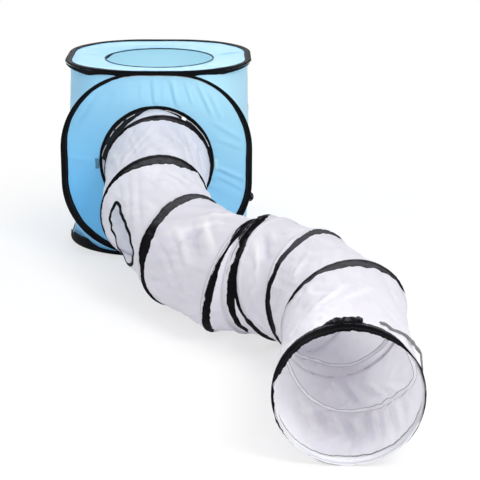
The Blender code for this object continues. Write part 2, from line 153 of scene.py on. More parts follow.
# %% A finish and its nodes
class Finish:
    """A material, or a world, and the nodes of its tree."""

    def __init__(self, name, kind=bpy.data.materials):
        self.owner = kind.new(name)
        self.owner.use_nodes = True
        self.tree = self.owner.node_tree
        self.tree.nodes.clear()

    def node(self, kind, settings=None, sockets=None, output=0):
        """A node of this kind, set up and linked. Returns its chosen output."""
        made = self.tree.nodes.new(kind)
        for key, value in (settings or {}).items():
            setattr(made, key, value)
        for key, value in (sockets or {}).items():
            if isinstance(key, int):
                where = made.inputs[key]
            else:
                where = next(s for s in made.inputs
                             if s.enabled and key.lower() in (s.identifier.lower(), s.name.lower()))
            if isinstance(value, Wire):
                self.tree.links.new(value.socket, where)
            elif where.type == "RGBA" and len(value) == 3:
                where.default_value = (*value, 1.0)
            else:
                where.default_value = value
        return Wire(self, made.outputs[output]) if made.outputs else None

    def blend(self, share, first, second):
        """Two colours mixed by share."""
        return self.node("ShaderNodeMix", {"data_type": "RGBA"},
                         {"Factor_Float": share, "A_Color": first, "B_Color": second}, output=2)

    def spots(self, scale, detail=2.0, along=None):
        """Soft noise over the object's own space, or over given coordinates."""
        place = along or self.node("ShaderNodeTexCoord", output=3)
        return self.node("ShaderNodeTexNoise", None, {"Vector": place, "Scale": scale, "Detail": detail})

    def axis(self, letter, place=None):
        """One coordinate of a place in the object's own space."""
        split = self.node("ShaderNodeSeparateXYZ", None,
                          {"Vector": place or self.node("ShaderNodeTexCoord", output=3)})
        return Wire(self, split.socket.node.outputs["XYZ".index(letter)])

    def cloth_way(self, name):
        """A number that the mesh carries at each point, such as how far along a tape it is."""
        return self.node("ShaderNodeAttribute", {"attribute_name": name}, output=2)

    def seen_directly(self):
        """1 for rays that come from the camera or off a gloss, 0 for the rest."""
        camera = self.node("ShaderNodeLightPath")
        glossy = Wire(self, camera.socket.node.outputs["Is Glossy Ray"])
        return self.node("ShaderNodeMath", {"operation": "MAXIMUM"}, {0: camera, 1: glossy})

    def bump(self, height, strength, distance):
        """The way a surface faces once this height stands on it."""
        return self.node("ShaderNodeBump", None,
                         {"Height": height, "Strength": strength, "Distance": distance})

    def shader(self, see_through=None, through_colour=None, **sockets):
        """The last step: the surface, with a share of the light let through thin cloth."""
        names = {key.replace("_", " "): value for key, value in sockets.items()}
        surface = self.node("ShaderNodeBsdfPrincipled", None, names)
        if see_through is not None:
            glow = self.node("ShaderNodeBsdfTranslucent", None, {"Color": through_colour})
            surface = self.node("ShaderNodeMixShader", None, {0: see_through, 1: surface, 2: glow})
        self.node("ShaderNodeOutputMaterial", None, {"Surface": surface})
        return self.owner


print("finish kit ready")

# %% [markdown]
# ## Thin polyester
#
# The cube and tunnel are sewn from taffeta, a thin smooth weave that shines softly and lets
# some light through. Two crossed sine waves make the threads, slow noise makes the handling
# marks, and a translucent share makes the far side glow as real taffeta does. On the tunnel
# the mesh also carries its folds: crests get a painted highlight and hollows painted shade,
# and long streaks let more or less light through. The cube's cloth has painted light: it is
# painted paler where the lamps fall on it, and painted shade darkens its roof.

# %% Cloth finish
THREADS = 5200.0


def taffeta(name, colour, deep, see_through, glow, crest=None, hollow=None, fade_and_painted_light=None):
    """Thin woven cloth with threads and handling marks, with a painted highlight and painted shade in its
    folds, or painted paler where the lamps fall on it.
    """
    cloth = Finish(name)
    across, back, up = (cloth.axis(letter) for letter in "XYZ")
    weft = ((across + back * 0.35) * THREADS).sine()
    warp = ((up + back * 0.35) * THREADS).sine()
    mottled = cloth.spots(9.0, 3.0)
    crumple = cloth.spots(38.0, 4.0)
    handled = cloth.spots(2.2, 1.0)
    tone = cloth.blend(mottled.ramp(0.35, 0.75), colour, deep)
    tone = cloth.blend(handled.ramp(0.45, 0.8, 0.0, 0.5), tone, deep)
    # Painted light: the cube's cloth is painted paler towards its top, its right side and its back, with a
    # painted glow on the right side cloth and painted shade on its roof.
    if fade_and_painted_light:
        lit = up.ramp(0.10, 0.50, 0.0, 0.6) + across.ramp(-0.20, 0.22, 0.0, 0.45)
        lit = lit + back.ramp(-0.217, -0.15, 0.0, 0.12) + back.ramp(0.05, 0.22, 0.0, 0.4)
        side_glow = across.ramp(0.215, 0.224, 0.0, 0.35)
        roof_shade = up.ramp(0.437, 0.441, 0.0, 0.72)
        tone = cloth.blend(lit + side_glow - roof_shade, tone, fade_and_painted_light)
    height = crumple * 0.8 + mottled * 1.2 + (weft + warp) * 0.015
    if crest:
        streaks = cloth.spots(1.0, 2.0, cloth.node("ShaderNodeCombineXYZ", None, {
            axis: cloth.cloth_way("streak_" + axis.lower()) for axis in "XYZ"}))
        fold = cloth.cloth_way("fold")
        # Painted light: fold crests are painted pale as a painted highlight and fold hollows are painted dark
        # as painted shade.
        tone = cloth.blend(fold.ramp(0.08, 1.0, 0.0, 0.8), tone, crest)
        tone = cloth.blend(fold.ramp(-0.08, -1.0, 0.0, 0.8), tone, hollow)
        height = height + streaks * 0.5
        see_through = streaks.ramp(0.32, 0.68, see_through + 0.05, see_through - 0.05)
    return cloth.shader(see_through, glow, base_color=tone, roughness=0.34 + crumple * 0.16,
                        normal=cloth.bump(height, 0.35, 0.0035),
                        sheen_weight=0.25, sheen_roughness=0.4, ior=1.45)


# The blue cloth's last colour is the painted light colour for where the lamps fall on the cube.
blue_cloth = taffeta("blue_cloth", (0.148, 0.54, 0.98), (0.12, 0.49, 0.94), 0.42, (0.56, 0.90, 1.0),
                     fade_and_painted_light=(0.57, 0.88, 1.0))
# The white cloth's crest colour is a painted highlight and its hollow colour is a painted shade.
white_cloth = taffeta("white_cloth", (0.860, 0.850, 0.905), (0.81, 0.785, 0.855), 0.45,
                      (0.95, 0.94, 0.97), crest=(0.99, 0.99, 1.0), hollow=(0.66, 0.64, 0.73))
print("cloth finishes", blue_cloth.name, white_cloth.name)

# %% [markdown]
# ## Folded tape
#
# Every spring hoop runs in a folded strip of woven tape. Its ribs cross the strip, its edges
# catch the light and wear pale, faces that turn up get a painted highlight, and a row of
# stitches holds it. The mesh carries two numbers, "along" in metres and "across" from 0 to 1,
# and the ribs and stitches are drawn from them.

# %% Tape finish
def woven_tape(name, colour, edge, rib=0.0011, stitch=0.0042, thread=(0.02, 0.02, 0.022),
               rows=(0.14, 0.86), shine=0.5, row_width=0.024, painted_top_light=None):
    """Ribbed tape with worn edges, rows of stitches (unbroken if stitch is 0) and a painted highlight on its
    upturned faces.
    """
    tape = Finish(name)
    along, across = tape.cloth_way("along"), tape.cloth_way("across")
    ribs = (along * (2 * math.pi / rib)).sine()
    worn = tape.spots(120.0, 3.0)
    fade_and_painted_light = tape.spots(16.0, 2.0)
    side = ((across - 0.5).size() * 2.0).ramp(0.72, 1.0)
    tone = tape.blend(fade_and_painted_light.ramp(0.4, 0.8, 0.0, 0.55), colour, edge)
    tone = tape.blend(side * worn.ramp(0.35, 0.7) * 0.8, tone, edge)
    # Painted highlight: faces that turn upwards are painted lighter, in patches.
    if painted_top_light:
        facing = tape.axis("Z", tape.node("ShaderNodeNewGeometry", output=1))
        tone = tape.blend(facing.ramp(0.45, 1.0) * worn.ramp(0.2, 0.8, 0.55, 1.0), tone, painted_top_light)
    seam = 0.0
    for row in rows:
        seam = (across - row).size().ramp(row_width * 0.67, row_width * 1.33, 1.0, 0.0) + seam
    if stitch:
        seam = seam * ((along * (1.0 / stitch)).part() - 0.5).size().ramp(0.30, 0.36, 1.0, 0.0)
    tone = tape.blend(seam, tone, thread)
    height = ribs * 0.22 + worn * 0.5 + seam * 1.3
    return tape.shader(base_color=tone, roughness=0.58 + worn * 0.2 - seam * 0.1,
                       normal=tape.bump(height, 0.5, 0.0006), sheen_weight=0.03, sheen_roughness=0.5,
                       specular_ior_level=shine)


black_tape = woven_tape("black_tape", (0.003, 0.004, 0.005), (0.012, 0.012, 0.015), shine=0.04)
# Soft tape gets a painted highlight on its upturned faces.
soft_tape = woven_tape("soft_tape", (0.003, 0.003, 0.004), (0.014, 0.013, 0.017), rib=0.0016,
                       shine=0.03, painted_top_light=(0.070, 0.070, 0.078))
teal_tape = woven_tape("teal_tape", (0.012, 0.055, 0.07), (0.04, 0.12, 0.15), shine=0.2)
white_tape = woven_tape("white_tape", (0.86, 0.87, 0.88), (0.78, 0.78, 0.82), thread=(0.6, 0.6, 0.66))
grey_ribbon = woven_tape("grey_ribbon", (0.13, 0.13, 0.135), (0.24, 0.24, 0.25), rib=0.0009)
seam_tape = woven_tape("seam_tape", (0.93, 0.93, 0.95), (0.86, 0.86, 0.90), thread=(0.36, 0.35, 0.39),
                       rows=(0.06, 0.94), stitch=0, row_width=0.06)
rim_tape = woven_tape("rim_tape", (0.80, 0.81, 0.83), (0.66, 0.67, 0.71), thread=(0.5, 0.5, 0.55),
                      rows=())
tab_blue = woven_tape("tab_blue", (0.075, 0.21, 0.34), (0.12, 0.30, 0.44), thread=(0.05, 0.12, 0.2))
tab_pale = woven_tape("tab_pale", (0.42, 0.72, 0.86), (0.52, 0.82, 0.93), thread=(0.3, 0.6, 0.75))
print("tape finishes", [m.name for m in (black_tape, soft_tape, teal_tape, white_tape, grey_ribbon)])

# %% [markdown]
# ## Spring steel
#
# The flat wires stay as the model has them. They only get a fine mottle of dulled steel.

# %% Spring steel finish
def drawn_wire(name):
    """Flat spring wire: a fine mottle of dulling."""
    wire = Finish(name)
    dull = wire.spots(260.0, 2.0)
    tone = wire.blend(dull, (0.50, 0.51, 0.53), (0.36, 0.36, 0.38))
    return wire.shader(base_color=tone, metallic=1.0, roughness=0.24 + dull * 0.18,
                       normal=wire.bump(dull, 0.2, 0.0002))


spring_steel = drawn_wire("spring_steel")
for name, node in frame["nodes"].items():
    if "wire" in name:
        node.data.materials.clear()
        node.data.materials.append(spring_steel)
print("wires finished")

# %% [markdown]
# ## Building cloth
#
# A cloth piece is a grid of points: rows run along it and columns run round it. Working the
# points out with numpy keeps each shape a formula, and one helper turns any grid into a mesh
# with smooth shading, its finish and the numbers that the finish reads.


def grid_piece(name, points, finish, round_columns=False, round_rows=False, marks=None):
    """A smooth mesh from points[row][column], joined round where asked."""
    rows, columns = points.shape[:2]
    j, i = np.meshgrid(np.arange(rows if round_rows else rows - 1),
                       np.arange(columns if round_columns else columns - 1), indexing="ij")
    j, i = j.ravel(), i.ravel()
    after_j, after_i = (j + 1) % rows, (i + 1) % columns
    faces = np.stack([j * columns + i, j * columns + after_i,
                      after_j * columns + after_i, after_j * columns + i], axis=1)
    mesh = bpy.data.meshes.new(name)
    mesh.from_pydata(points.reshape(-1, 3).tolist(), [], faces.tolist())
    mesh.shade_smooth()
    for label, values in (marks or {}).items():
        kept = mesh.attributes.new(label, "FLOAT", "POINT")
        values = np.broadcast_to(values, (rows, columns)).astype(np.float32)
        kept.data.foreach_set("value", values.ravel())
    mesh.materials.append(finish)
    piece = bpy.data.objects.new(name, mesh)
    bpy.context.scene.collection.objects.link(piece)
    return piece


print("grid kit ready")

# %% Number helpers
def rough(x, y, z=0.0):
    """Smooth noise from -1 to 1 over three coordinates, as an array."""
    x, y, z = np.broadcast_arrays(x, y, z)
    values = [noise.noise(Vector(spot)) for spot in np.stack([x, y, z], -1).reshape(-1, 3)]
    return np.array(values).reshape(x.shape)


def ripple(x, y, waves, seed):
    """Smooth noise over two coordinates, with this many waves to their unit."""
    return rough(x * waves, y * waves, seed)


def between(start, end, share):
    """The mix of two numbers or places by share."""
    return start * (1 - share) + end * share


def circle(count):
    """Evenly spaced angles round a full turn."""
    return np.linspace(0, 2 * math.pi, count, endpoint=False)


def spokes(angles, right, up):
    """Directions at these angles in the plane of right and up."""
    return np.cos(angles)[..., None] * right + np.sin(angles)[..., None] * up


def unit(ways):
    """The same directions at length 1."""
    return ways / np.linalg.norm(ways, axis=-1, keepdims=True)


def spread(stops, run):
    """Evenly spread stops, read at each share of the run."""
    return np.interp(run, np.linspace(0, 1, len(stops)), stops)


def stops_at(places, stops, which=1, period=None):
    """Stops that start with their place, read at other places."""
    return np.interp(places, [stop[0] for stop in stops], [stop[which] for stop in stops], period=period)


def walked_along(path):
    """Distance from a path's start to each of its points."""
    return np.concatenate([[0], np.cumsum(np.linalg.norm(np.diff(path, axis=0), axis=1))])


def surface_of(points):
    """Area of a grid of points, in square metres."""
    a = points[1:, :-1] - points[:-1, :-1]
    b = points[:-1, 1:] - points[:-1, :-1]
    return float(np.linalg.norm(np.cross(a, b), axis=2).sum())


print("number helpers ready")

# %% [markdown]
# ## Where the tunnel's hoops are
#
# The wires in the model are perfect rings, so their points give each hoop's middle and the
# way it faces. Reading them keeps the cloth on its hoops whatever the model's sizes are.

# %% Hoop frames from the wires
HOOP_COUNT = 10
HOOP_RADIUS = 0.126
CLOTH_RADIUS = 0.1215
GIRTH = 2 * math.pi * HOOP_RADIUS
TOWARDS_MOUTH = np.array((0.35, -1.0, 0.0))
X, Y, Z = np.eye(3)


def hoop_frame(number):
    """Middle, right, up and forward of a tunnel hoop, as arrays."""
    points = np.array([v.co for v in frame["nodes"]["wire_%02d" % number].data.vertices])
    middle = points.mean(0)
    forward = np.linalg.svd(points - middle, full_matrices=False)[2][2]
    if forward @ TOWARDS_MOUTH < 0:
        forward = -forward
    right = unit(np.cross(Z, forward))
    return middle, right, np.cross(forward, right), forward


hoops = {n: hoop_frame(n) for n in range(1, HOOP_COUNT + 1)}
# The body that carries each hoop.
CARRIERS = {1: "tunnel_end", 2: "hoop_2", 3: "hoop_3", 4: "hoop_4", 5: "bend", 6: "bend",
            7: "hoop_7", 8: "hoop_8", 9: "hoop_9", 10: "hoop_10"}


def follow_cloth(piece, first):
    """Attach a piece to the body of the cloth after this hoop when both its hoops share that body; otherwise
    only bake its place.
    """
    if CARRIERS[first] == CARRIERS[first + 1]:
        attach(piece, CARRIERS[first])
    else:
        CARRIERS[first + 1]
        hoops[first + 1][0]
        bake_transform(piece)


for n, hoop in hoops.items():
    print("hoop", n, hoop[0].round(3), "faces", hoop[3].round(2))

# %% [markdown]
# ## Tunnel cloth
#
# Each length of tunnel is one tube of cloth sewn under two hoops, taut between them, so it
# dips a little at its waist and creases on the slant. Thin taffeta creases sharply and lies
# flat between its creases, so the creases are the sharp valleys of folded noise, wound a
# little round the tunnel, and they fade out where the seams hold the cloth.

# %% Creases of the tunnel cloth
AROUND = 192
ROW_GAP = 0.0045
WAIST_DIP = 0.004
EASE = 0.04
SEAM_STRETCH = 1.25
SEAM_HOLD = 0.03
PUCKER_REACH = 0.012
PUCKER_START = 0.004
PUCKER_HEIGHT = 0.0010
PUCKER_WAVES = 19
MEAN_FOLD = 0.22
FOLD_GAIN = 1.6
# Winding, size across and along, height and seed of each set of slanting creases.
SLANTS = ((2.0, 0.028, 0.16, -0.0040, 1.0), (6.5, 0.033, 0.18, -0.0038, 2.0),
          (-5.5, 0.037, 0.16, 0.0034, 3.0), (0.5, 0.012, 0.10, -0.0010, 4.0))
turns = circle(AROUND)


def cloth_folds(first, from_near, from_far):
    """Height of the slanting creases and seam puckers, from the distances to the two seams."""
    inside = np.minimum(1, from_near / SEAM_HOLD) * np.minimum(1, from_far / SEAM_HOLD)
    height = 0
    for wind, across, along, size, seed in SLANTS:
        angle = turns[None] + wind * from_near
        x, y = HOOP_RADIUS * np.cos(angle) / across, HOOP_RADIUS * np.sin(angle) / across
        folded = np.abs(rough(x, y, from_near / along + first * 7.3 + seed))
        height = height + size * (folded - MEAN_FOLD) * FOLD_GAIN * inside
    seam = sum(np.exp(-away / PUCKER_REACH) * np.minimum(1, away / PUCKER_START)
               for away in (from_near, from_far))
    x, y = np.cos(turns)[None] * PUCKER_WAVES, np.sin(turns)[None] * PUCKER_WAVES
    return height + PUCKER_HEIGHT * seam * rough(x, y, from_near * 25 + first)


print("slanting creases", len(SLANTS))

# %% Creases put in their place
def placed_crease(crease, walked, length):
    """Height of one crease that is put in its place by its two ends, its width and its height."""
    part_0, turn_0, part_1, turn_1, width, height = crease
    a = np.array((part_0 * length, math.radians(turn_0) * HOOP_RADIUS))
    b = np.array((part_1 * length, math.radians(turn_1) * HOOP_RADIUS))
    reach = np.linalg.norm(b - a)
    line = (b - a) / reach
    x = walked - a[0]
    y = (turns[None] * HOOP_RADIUS - a[1] + GIRTH / 2) % GIRTH - GIRTH / 2
    ahead = np.clip((x * line[0] + y * line[1]) / reach, 0, 1)
    off = x * line[1] - y * line[0]
    return height * np.exp(-(off / width) ** 2) * np.clip(np.sin(ahead * math.pi), 0, 1)


# Creases by the hoop before them: part and turn of each end, then width and height.
CREASES = {
    3: ((0.9, 60, 0.2, 100, 0.006, -0.002),),
    4: ((0.95, 95, 0.1, 150, 0.008, 0.0032), (0.97, 90, 0.25, 165, 0.007, -0.0030),
        (0.9, 75, 0.3, 120, 0.008, 0.0030), (0.50, 106, 1.0, 146, 0.009, 0.0040),
        (0.34, 112, 0.9, 155, 0.010, -0.0030), (0.2, 128, 0.8, 162, 0.012, 0.0036)),
    7: ((0.02, 118, 0.7, 166, 0.010, 0.0040), (0.12, 110, 0.8, 143, 0.008, -0.0034),
        (0.1, 102, 0.75, 122, 0.007, 0.0022)),
    8: ((0.35, 104, 0.8, 146, 0.012, 0.0030), (0.9, 60, 0.3, 85, 0.009, -0.0020)),
    9: ((0.0, 260, 0.42, 280, 0.007, 0.0050), (0.02, 268, 0.42, 288, 0.007, -0.0044),
        (0.04, 276, 0.46, 298, 0.007, 0.0050), (0.10, 286, 0.46, 308, 0.007, -0.0044),
        (0.12, 294, 0.50, 316, 0.007, 0.0054), (0.28, 313, 0.64, 335, 0.008, 0.0044),
        (0.30, 308, 0.58, 322, 0.007, -0.0044), (0.36, 227, 0.66, 235, 0.008, 0.0040),
        (0.42, 237, 0.80, 246, 0.007, 0.0046), (0.46, 247, 0.82, 256, 0.008, -0.0042),
        (0.50, 263, 0.76, 269, 0.006, 0.0048), (0.52, 271, 0.88, 278, 0.008, -0.0044),
        (0.52, 280, 0.84, 286, 0.007, 0.0054), (0.52, 290, 0.92, 294, 0.007, -0.0054),
        (0.52, 297, 0.95, 300, 0.007, 0.0064), (0.56, 302, 0.94, 305, 0.006, -0.0056),
        (0.58, 308, 0.96, 310, 0.007, 0.0064), (0.62, 314, 0.95, 318, 0.007, -0.0052),
        (0.62, 322, 0.94, 324, 0.007, 0.0060), (0.66, 330, 0.90, 332, 0.006, -0.0046),
        (0.25, 86, 0.70, 128, 0.014, 0.0036), (0.28, 66, 0.66, 98, 0.012, 0.0030),
        (0.2, 100, 0.75, 145, 0.012, -0.0018)),
}
print("placed creases", sum(len(listed) for listed in CREASES.values()))

# %% Tube of cloth between two hoops
# How a fold's height turns into the fold mark for the painted highlight on crests and the painted shade in
# hollows.
PALE_PER_METRE = 60
FULLY_PALE = 0.0024
HIGHEST_FOLD = 0.0035
CLEAR_OF_FLOOR = 0.0012
STREAKS_ROUND = 4.2
STREAKS_ALONG = 5
STREAK_WIND = 4.0


def tube_points(first):
    """Points of the cloth from one hoop to the next, its cut length and its marks for the finish."""
    near_way, far_way = (spokes(turns, *hoops[n][1:3]) for n in (first, first + 1))
    start = hoops[first][0] + CLOTH_RADIUS * near_way
    end = hoops[first + 1][0] + CLOTH_RADIUS * far_way
    reach = np.linalg.norm(end - start, axis=1)
    rows = max(8, int(round(reach.max() / ROW_GAP)))
    part = np.linspace(0, 1, rows + 1)[:, None]
    ease = part + EASE * np.sin(2 * math.pi * part)
    way = unit(between(near_way, far_way, part[..., None]))
    belly = 4 * part * (1 - part)
    walked = part * reach.mean()
    folds = cloth_folds(first, walked, (1 - part) * reach.mean())
    lift = -WAIST_DIP * belly * (1 + 0.35 * np.sin(turns)[None]) + folds
    fold = folds * PALE_PER_METRE
    for crease in CREASES.get(first, ()):
        height = placed_crease(crease, walked, reach.mean()) * np.minimum(1, belly * 4)
        lift, fold = lift + height, fold + height / FULLY_PALE
    points = between(start, end, ease[..., None]) + way * np.minimum(lift, HIGHEST_FOLD)[..., None]
    points[..., 2] = np.maximum(points[..., 2], CLEAR_OF_FLOOR)
    wound = turns[None] + STREAK_WIND * walked
    marks = {"streak_x": STREAKS_ROUND * np.cos(wound), "streak_y": STREAKS_ROUND * np.sin(wound),
             "streak_z": walked * STREAKS_ALONG + first * 9, "fold": fold}
    return points, float(reach.max()), marks


dressed = {}
for first in range(1, HOOP_COUNT):
    points, cut, marks = tube_points(first)
    dressed[first] = points
    name = "cloth_%02d_%02d" % (first, first + 1)
    cloth = grid_piece("tunnel_" + name, points, white_cloth, round_columns=True, marks=marks)
    area = surface_of(np.concatenate([points, points[:, :1]], axis=1))
    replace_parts(cloth, name)
    follow_cloth(cloth, first)
    "binding_%02d" % first
    "binding_%02d" % (first + 1)
    print(name, "cut length", round(cut, 3), "points", points.shape[:2])

# %% Points on the dressed cloth
def on_cloth(first, parts, degrees, out=0.0):
    """Places and outward ways on the tunnel cloth at parts of its length and turns round it."""
    points = dressed[first]
    rows, columns = points.shape[0] - 1, points.shape[1]
    parts, degrees = np.broadcast_arrays(np.asarray(parts, float), np.asarray(degrees, float))
    j = np.clip(parts, 0, 0.9999) * rows
    i = (degrees / 360.0 % 1.0) * columns
    j0, i0 = j.astype(int), i.astype(int)
    dj, di = (j - j0)[..., None], (i - i0)[..., None]
    i1 = (i0 + 1) % columns
    near = between(points[j0, i0], points[j0, i1], di)
    far = between(points[j0 + 1, i0], points[j0 + 1, i1], di)
    axis = between(hoops[first][0], hoops[first + 1][0], parts[..., None])
    place = between(near, far, dj)
    forward = unit(far - near)
    way = place - axis
    way = unit(way - (way * forward).sum(-1, keepdims=True) * forward)
    return place + np.asarray(out)[..., None] * way, way


print("cloth can be walked on")

# %% [markdown]
# ## Hoop bindings
#
# A tunnel hoop runs in a white casing with a strip of black tape sewn over it. Sewing over a
# wire never comes out even: the tape lies broad on the cloth at one turn and rolls under the
# casing at the next, and its edges pucker. So each tape is a list of stops round its hoop:
# the turn, and where the tape starts and ends along the tunnel, in millimetres from the wire.
# Every part of a hoop is laid on the cloth itself, so none of it stands off or sinks in.

# %% Sweeping a section round a hoop
AROUND_HOOP = 336
WANDER_WAVES = 11
SHARP_WAVES = 26
hoop_turns = circle(AROUND_HOOP)
rise = np.clip(np.sin(hoop_turns), 0, 1)


def stops_round(stops, which=1):
    """Millimetre stops round a hoop as an array in metres."""
    return stops_at(np.degrees(hoop_turns), stops, which, 360) / 1000


def pucker(seed, size):
    """Uneven stitching round a hoop: a slow wander with a sharper one on it."""
    x, y = np.cos(hoop_turns), np.sin(hoop_turns)
    return size * (ripple(x, y, WANDER_WAVES, seed) * 1.5 + ripple(x, y, SHARP_WAVES, seed + 5))


def beside_hoop(number, along):
    """Places on the cloth at a distance along the tunnel from the wire, and their outward ways."""
    middle, right, up, forward = hoops[number]
    way = spokes(hoop_turns, right, up)
    along = np.broadcast_to(np.asarray(along, float), hoop_turns.shape)
    place = middle + CLOTH_RADIUS * way + along[:, None] * forward
    for first, ahead in ((number, along), (number - 1, -along)):
        if first in dressed:
            reach = np.linalg.norm(dressed[first][-1] - dressed[first][0], axis=1)
            reach = np.interp(hoop_turns, turns, reach, period=2 * math.pi)
            part = np.clip(ahead / (SEAM_STRETCH * reach), 0, 0.9)
            laid = on_cloth(first, part if first == number else 1 - part, np.degrees(hoop_turns))[0]
            place = np.where((ahead > 0)[:, None], laid, place)
    return place, way


def round_hoop(number, section):
    """Sweep (radius, along) numbers or arrays round a hoop, laid on its cloth."""
    rows = []
    for radius, along in section:
        place, way = beside_hoop(number, along)
        rows.append(place + np.reshape(radius - CLOTH_RADIUS, (-1, 1)) * way)
    return np.array(rows)


def hoop_piece(name, number, section, finish, with_cloth=False):
    """A sewn part of a hoop, with its tape numbers; with_cloth hands it to follow_cloth instead of attaching
    it to its hoop's body.
    """
    marks = {"along": hoop_turns * HOOP_RADIUS, "across": np.linspace(0, 1, len(section))[:, None]}
    piece = grid_piece(name, round_hoop(number, section), finish, round_columns=True, marks=marks)
    if with_cloth:
        follow_cloth(piece, number)
    else:
        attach(piece, CARRIERS[number])
    return piece


print("hoop sweeps ready")

# %% Casings and facings
CASING_HALF = 0.0075
CASING_RISE = 0.0036
CASING_SHOULDER = 0.0042
FACING_INSET = 0.0003
FACING_SWELL = 0.0004


def casing_radius(along):
    """Outside of the white casing, along the tunnel from its wire."""
    return CLOTH_RADIUS + CASING_RISE / (1 + (np.abs(along) / CASING_SHOULDER) ** 4)


for number in hoops:
    casing = [(casing_radius(along), along) for along in np.linspace(-CASING_HALF, CASING_HALF, 15)]
    hoop_piece("casing_%02d" % number, number, casing, white_cloth)
    facing = [(CLOTH_RADIUS - FACING_INSET - FACING_SWELL * math.cos(along / CASING_HALF * math.pi / 2),
               along) for along in np.linspace(CASING_HALF, -CASING_HALF, 9)]
    hoop_piece("facing_%02d" % number, number, facing, white_cloth)
print("casings", len(hoops))

# %% Black tape over the casings
# Turn, start and end of the tape round each hoop.
BAND_STOPS = {
    1: ((0, -6, 3), (60, -6, 3), (80, -6, 1), (100, -6, 1), (112, -6, 9), (165, -6, 9), (178, -6, 3),
        (270, -6, 3)),
    2: ((0, -1, 5), (30, -1, 9), (60, -2, 13), (90, -2, 12), (108, -2, 10), (125, -1, 7), (150, -1, 5),
        (180, -1, 4), (210, 0, 2), (330, 0, 2)),
    3: ((8, 0, 0), (14, 0, 7), (30, 0, 8), (38, 0, 3), (50, 1, 12), (60, 0, 23), (75, -1, 26),
        (90, -1, 26), (105, -1, 23), (120, -1, 17), (135, -1, 8), (150, 0, 5), (165, 0, 4), (200, 0, 4),
        (212, 0, 1), (222, 0, 0)),
    4: ((35, 0, 0), (45, 0, 5), (60, 0, 10), (75, 1, 19), (90, 1, 24), (105, 2, 26), (120, 2, 26),
        (135, 4, 26), (150, 1, 27), (165, -3, 27), (175, 2, 20), (185, 4, 15), (195, 3, 12),
        (210, -1, 9), (225, 0, 8), (240, 0, 4), (248, 0, 0)),
    5: ((60, 0, 0), (75, 0, 9), (90, -2, 22), (105, -1, 26), (118, 1, 22), (127, 6, 14), (135, 7, 14),
        (150, 5, 13.5), (165, 3, 19), (180, 2.5, 20), (195, 2, 18), (210, 1, 15.5), (225, -1, 14),
        (240, 0, 10), (252, 0, 2), (262, 0, 0)),
    6: ((72, 0, 0), (84, -4, 5), (92, -16, 8), (105, -26, 14), (116, -20, 18), (127, -2, 22),
        (135, 5, 24), (150, 6.5, 25), (165, 5, 26), (180, 6, 28), (195, 6, 27), (208, 10, 25),
        (225, 12, 31), (234, 15, 31), (241, 20, 22)),
    7: ((88, -2, -2), (96, -8, 0), (105, -12, 0), (120, -14, -2), (135, -14, 3), (150, -15, 0),
        (165, -17, -5), (180, -19, -6), (195, -16, -3), (208, -14, 6), (225, -12, 16), (240, -8, 18),
        (255, -4, 18), (266, 0, 10), (276, 0, 0)),
    8: ((42, 0, 0), (50, 1, 6), (60, 2, 12), (75, 3, 18), (90, 4, 23), (105, 7, 26), (120, 9, 26),
        (135, 4, 21), (150, 5, 17), (165, 1, 14), (180, -3, 20), (195, -2, 28), (210, -3, 28),
        (222, -3, 22), (236, 0, 12), (250, 0, 0)),
    9: ((18, 0, 0), (24, 1, 4), (30, 1, 8), (45, 1, 14), (60, 1, 23), (75, 0, 27), (90, 0, 28),
        (105, 0, 24), (120, -1, 16), (135, 0, 13), (150, 0, 8), (158, 0, 3), (165, 0, 1.6),
        (190, 0, 1.6), (215, 0, 1), (225, 0, 0)),
}
TAPE_THICK = 0.0011
FRAY_WIDTH = 0.010
BACK_WANDER, FRONT_WANDER, GATHER_DEPTH = 0.0009, 0.0013, 0.0007
NARROWEST = 0.0002
TAPE_EDGE = 0.0001
# The tape of the first hoop stands off towards the cube: steepness, start and run of its slope.
FLARE, FLARE_START, FLARE_RUN = 0.9, 0.0005, 0.0055
# Shares of the tape's width, closer together at its edges.
BAND_SHARES = (1 - np.cos(np.linspace(0, math.pi, 25))) / 2
for number, stops in BAND_STOPS.items():
    start, end = stops_round(stops), stops_round(stops, 2)
    frayed = np.minimum(1, (end - start) / FRAY_WIDTH)
    start = start + pucker(number * 2.3, BACK_WANDER) * frayed
    end = np.maximum(end + pucker(number * 3.7, FRONT_WANDER) * frayed, start + NARROWEST)
    gather = np.abs(pucker(number * 5.1, GATHER_DEPTH))
    band = []
    for share in BAND_SHARES:
        along = start + (end - start) * share
        thick = TAPE_EDGE + TAPE_THICK * frayed * (1 - abs(2 * share - 1) ** 4)
        thick = thick - gather * 0.4 * frayed * (0 < share < 1)
        flare = FLARE * np.clip(-along - FLARE_START, 0, FLARE_RUN) if number == 1 else 0.0
        band.append((casing_radius(along) + thick + flare, along))
    piece = hoop_piece("binding_%02d" % number, number, band, soft_tape, with_cloth=True)
    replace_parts(piece, "sleeve_%02d" % number)
print("bindings", len(BAND_STOPS))

# %% [markdown]
# ## The open rim
#
# At the open end the tape is rolled. Over the top and the left it turns in over the front
# edge and looks broad and black; under the mouth the white lining rolls out over it instead.
# Two swept sections share one front edge, and a share called "lip" passes it from one to the
# other. A few dark threads show along both edges of the lining.

# %% Rim tape
RIM_STOPS = ((0, -3, 9), (14, -1, 8), (26, 0, 8), (31, 5, 8.3), (38, 7, 10), (46, 6, 11.5), (52, 0, 14),
             (60, -6, 16), (75, -12, 17.5), (90, -16, 18.5), (112, -17, 20), (135, -15, 18),
             (150, -13, 18), (160, -10, 16), (166, -6, 12.5), (171, 1, 9), (178, 4, 12), (190, 4, 11.5),
             (197, 6, 8.3), (203, -1, 9), (212, -1, 7), (222, 4, 5), (330, 4, 5), (346, -1, 8))
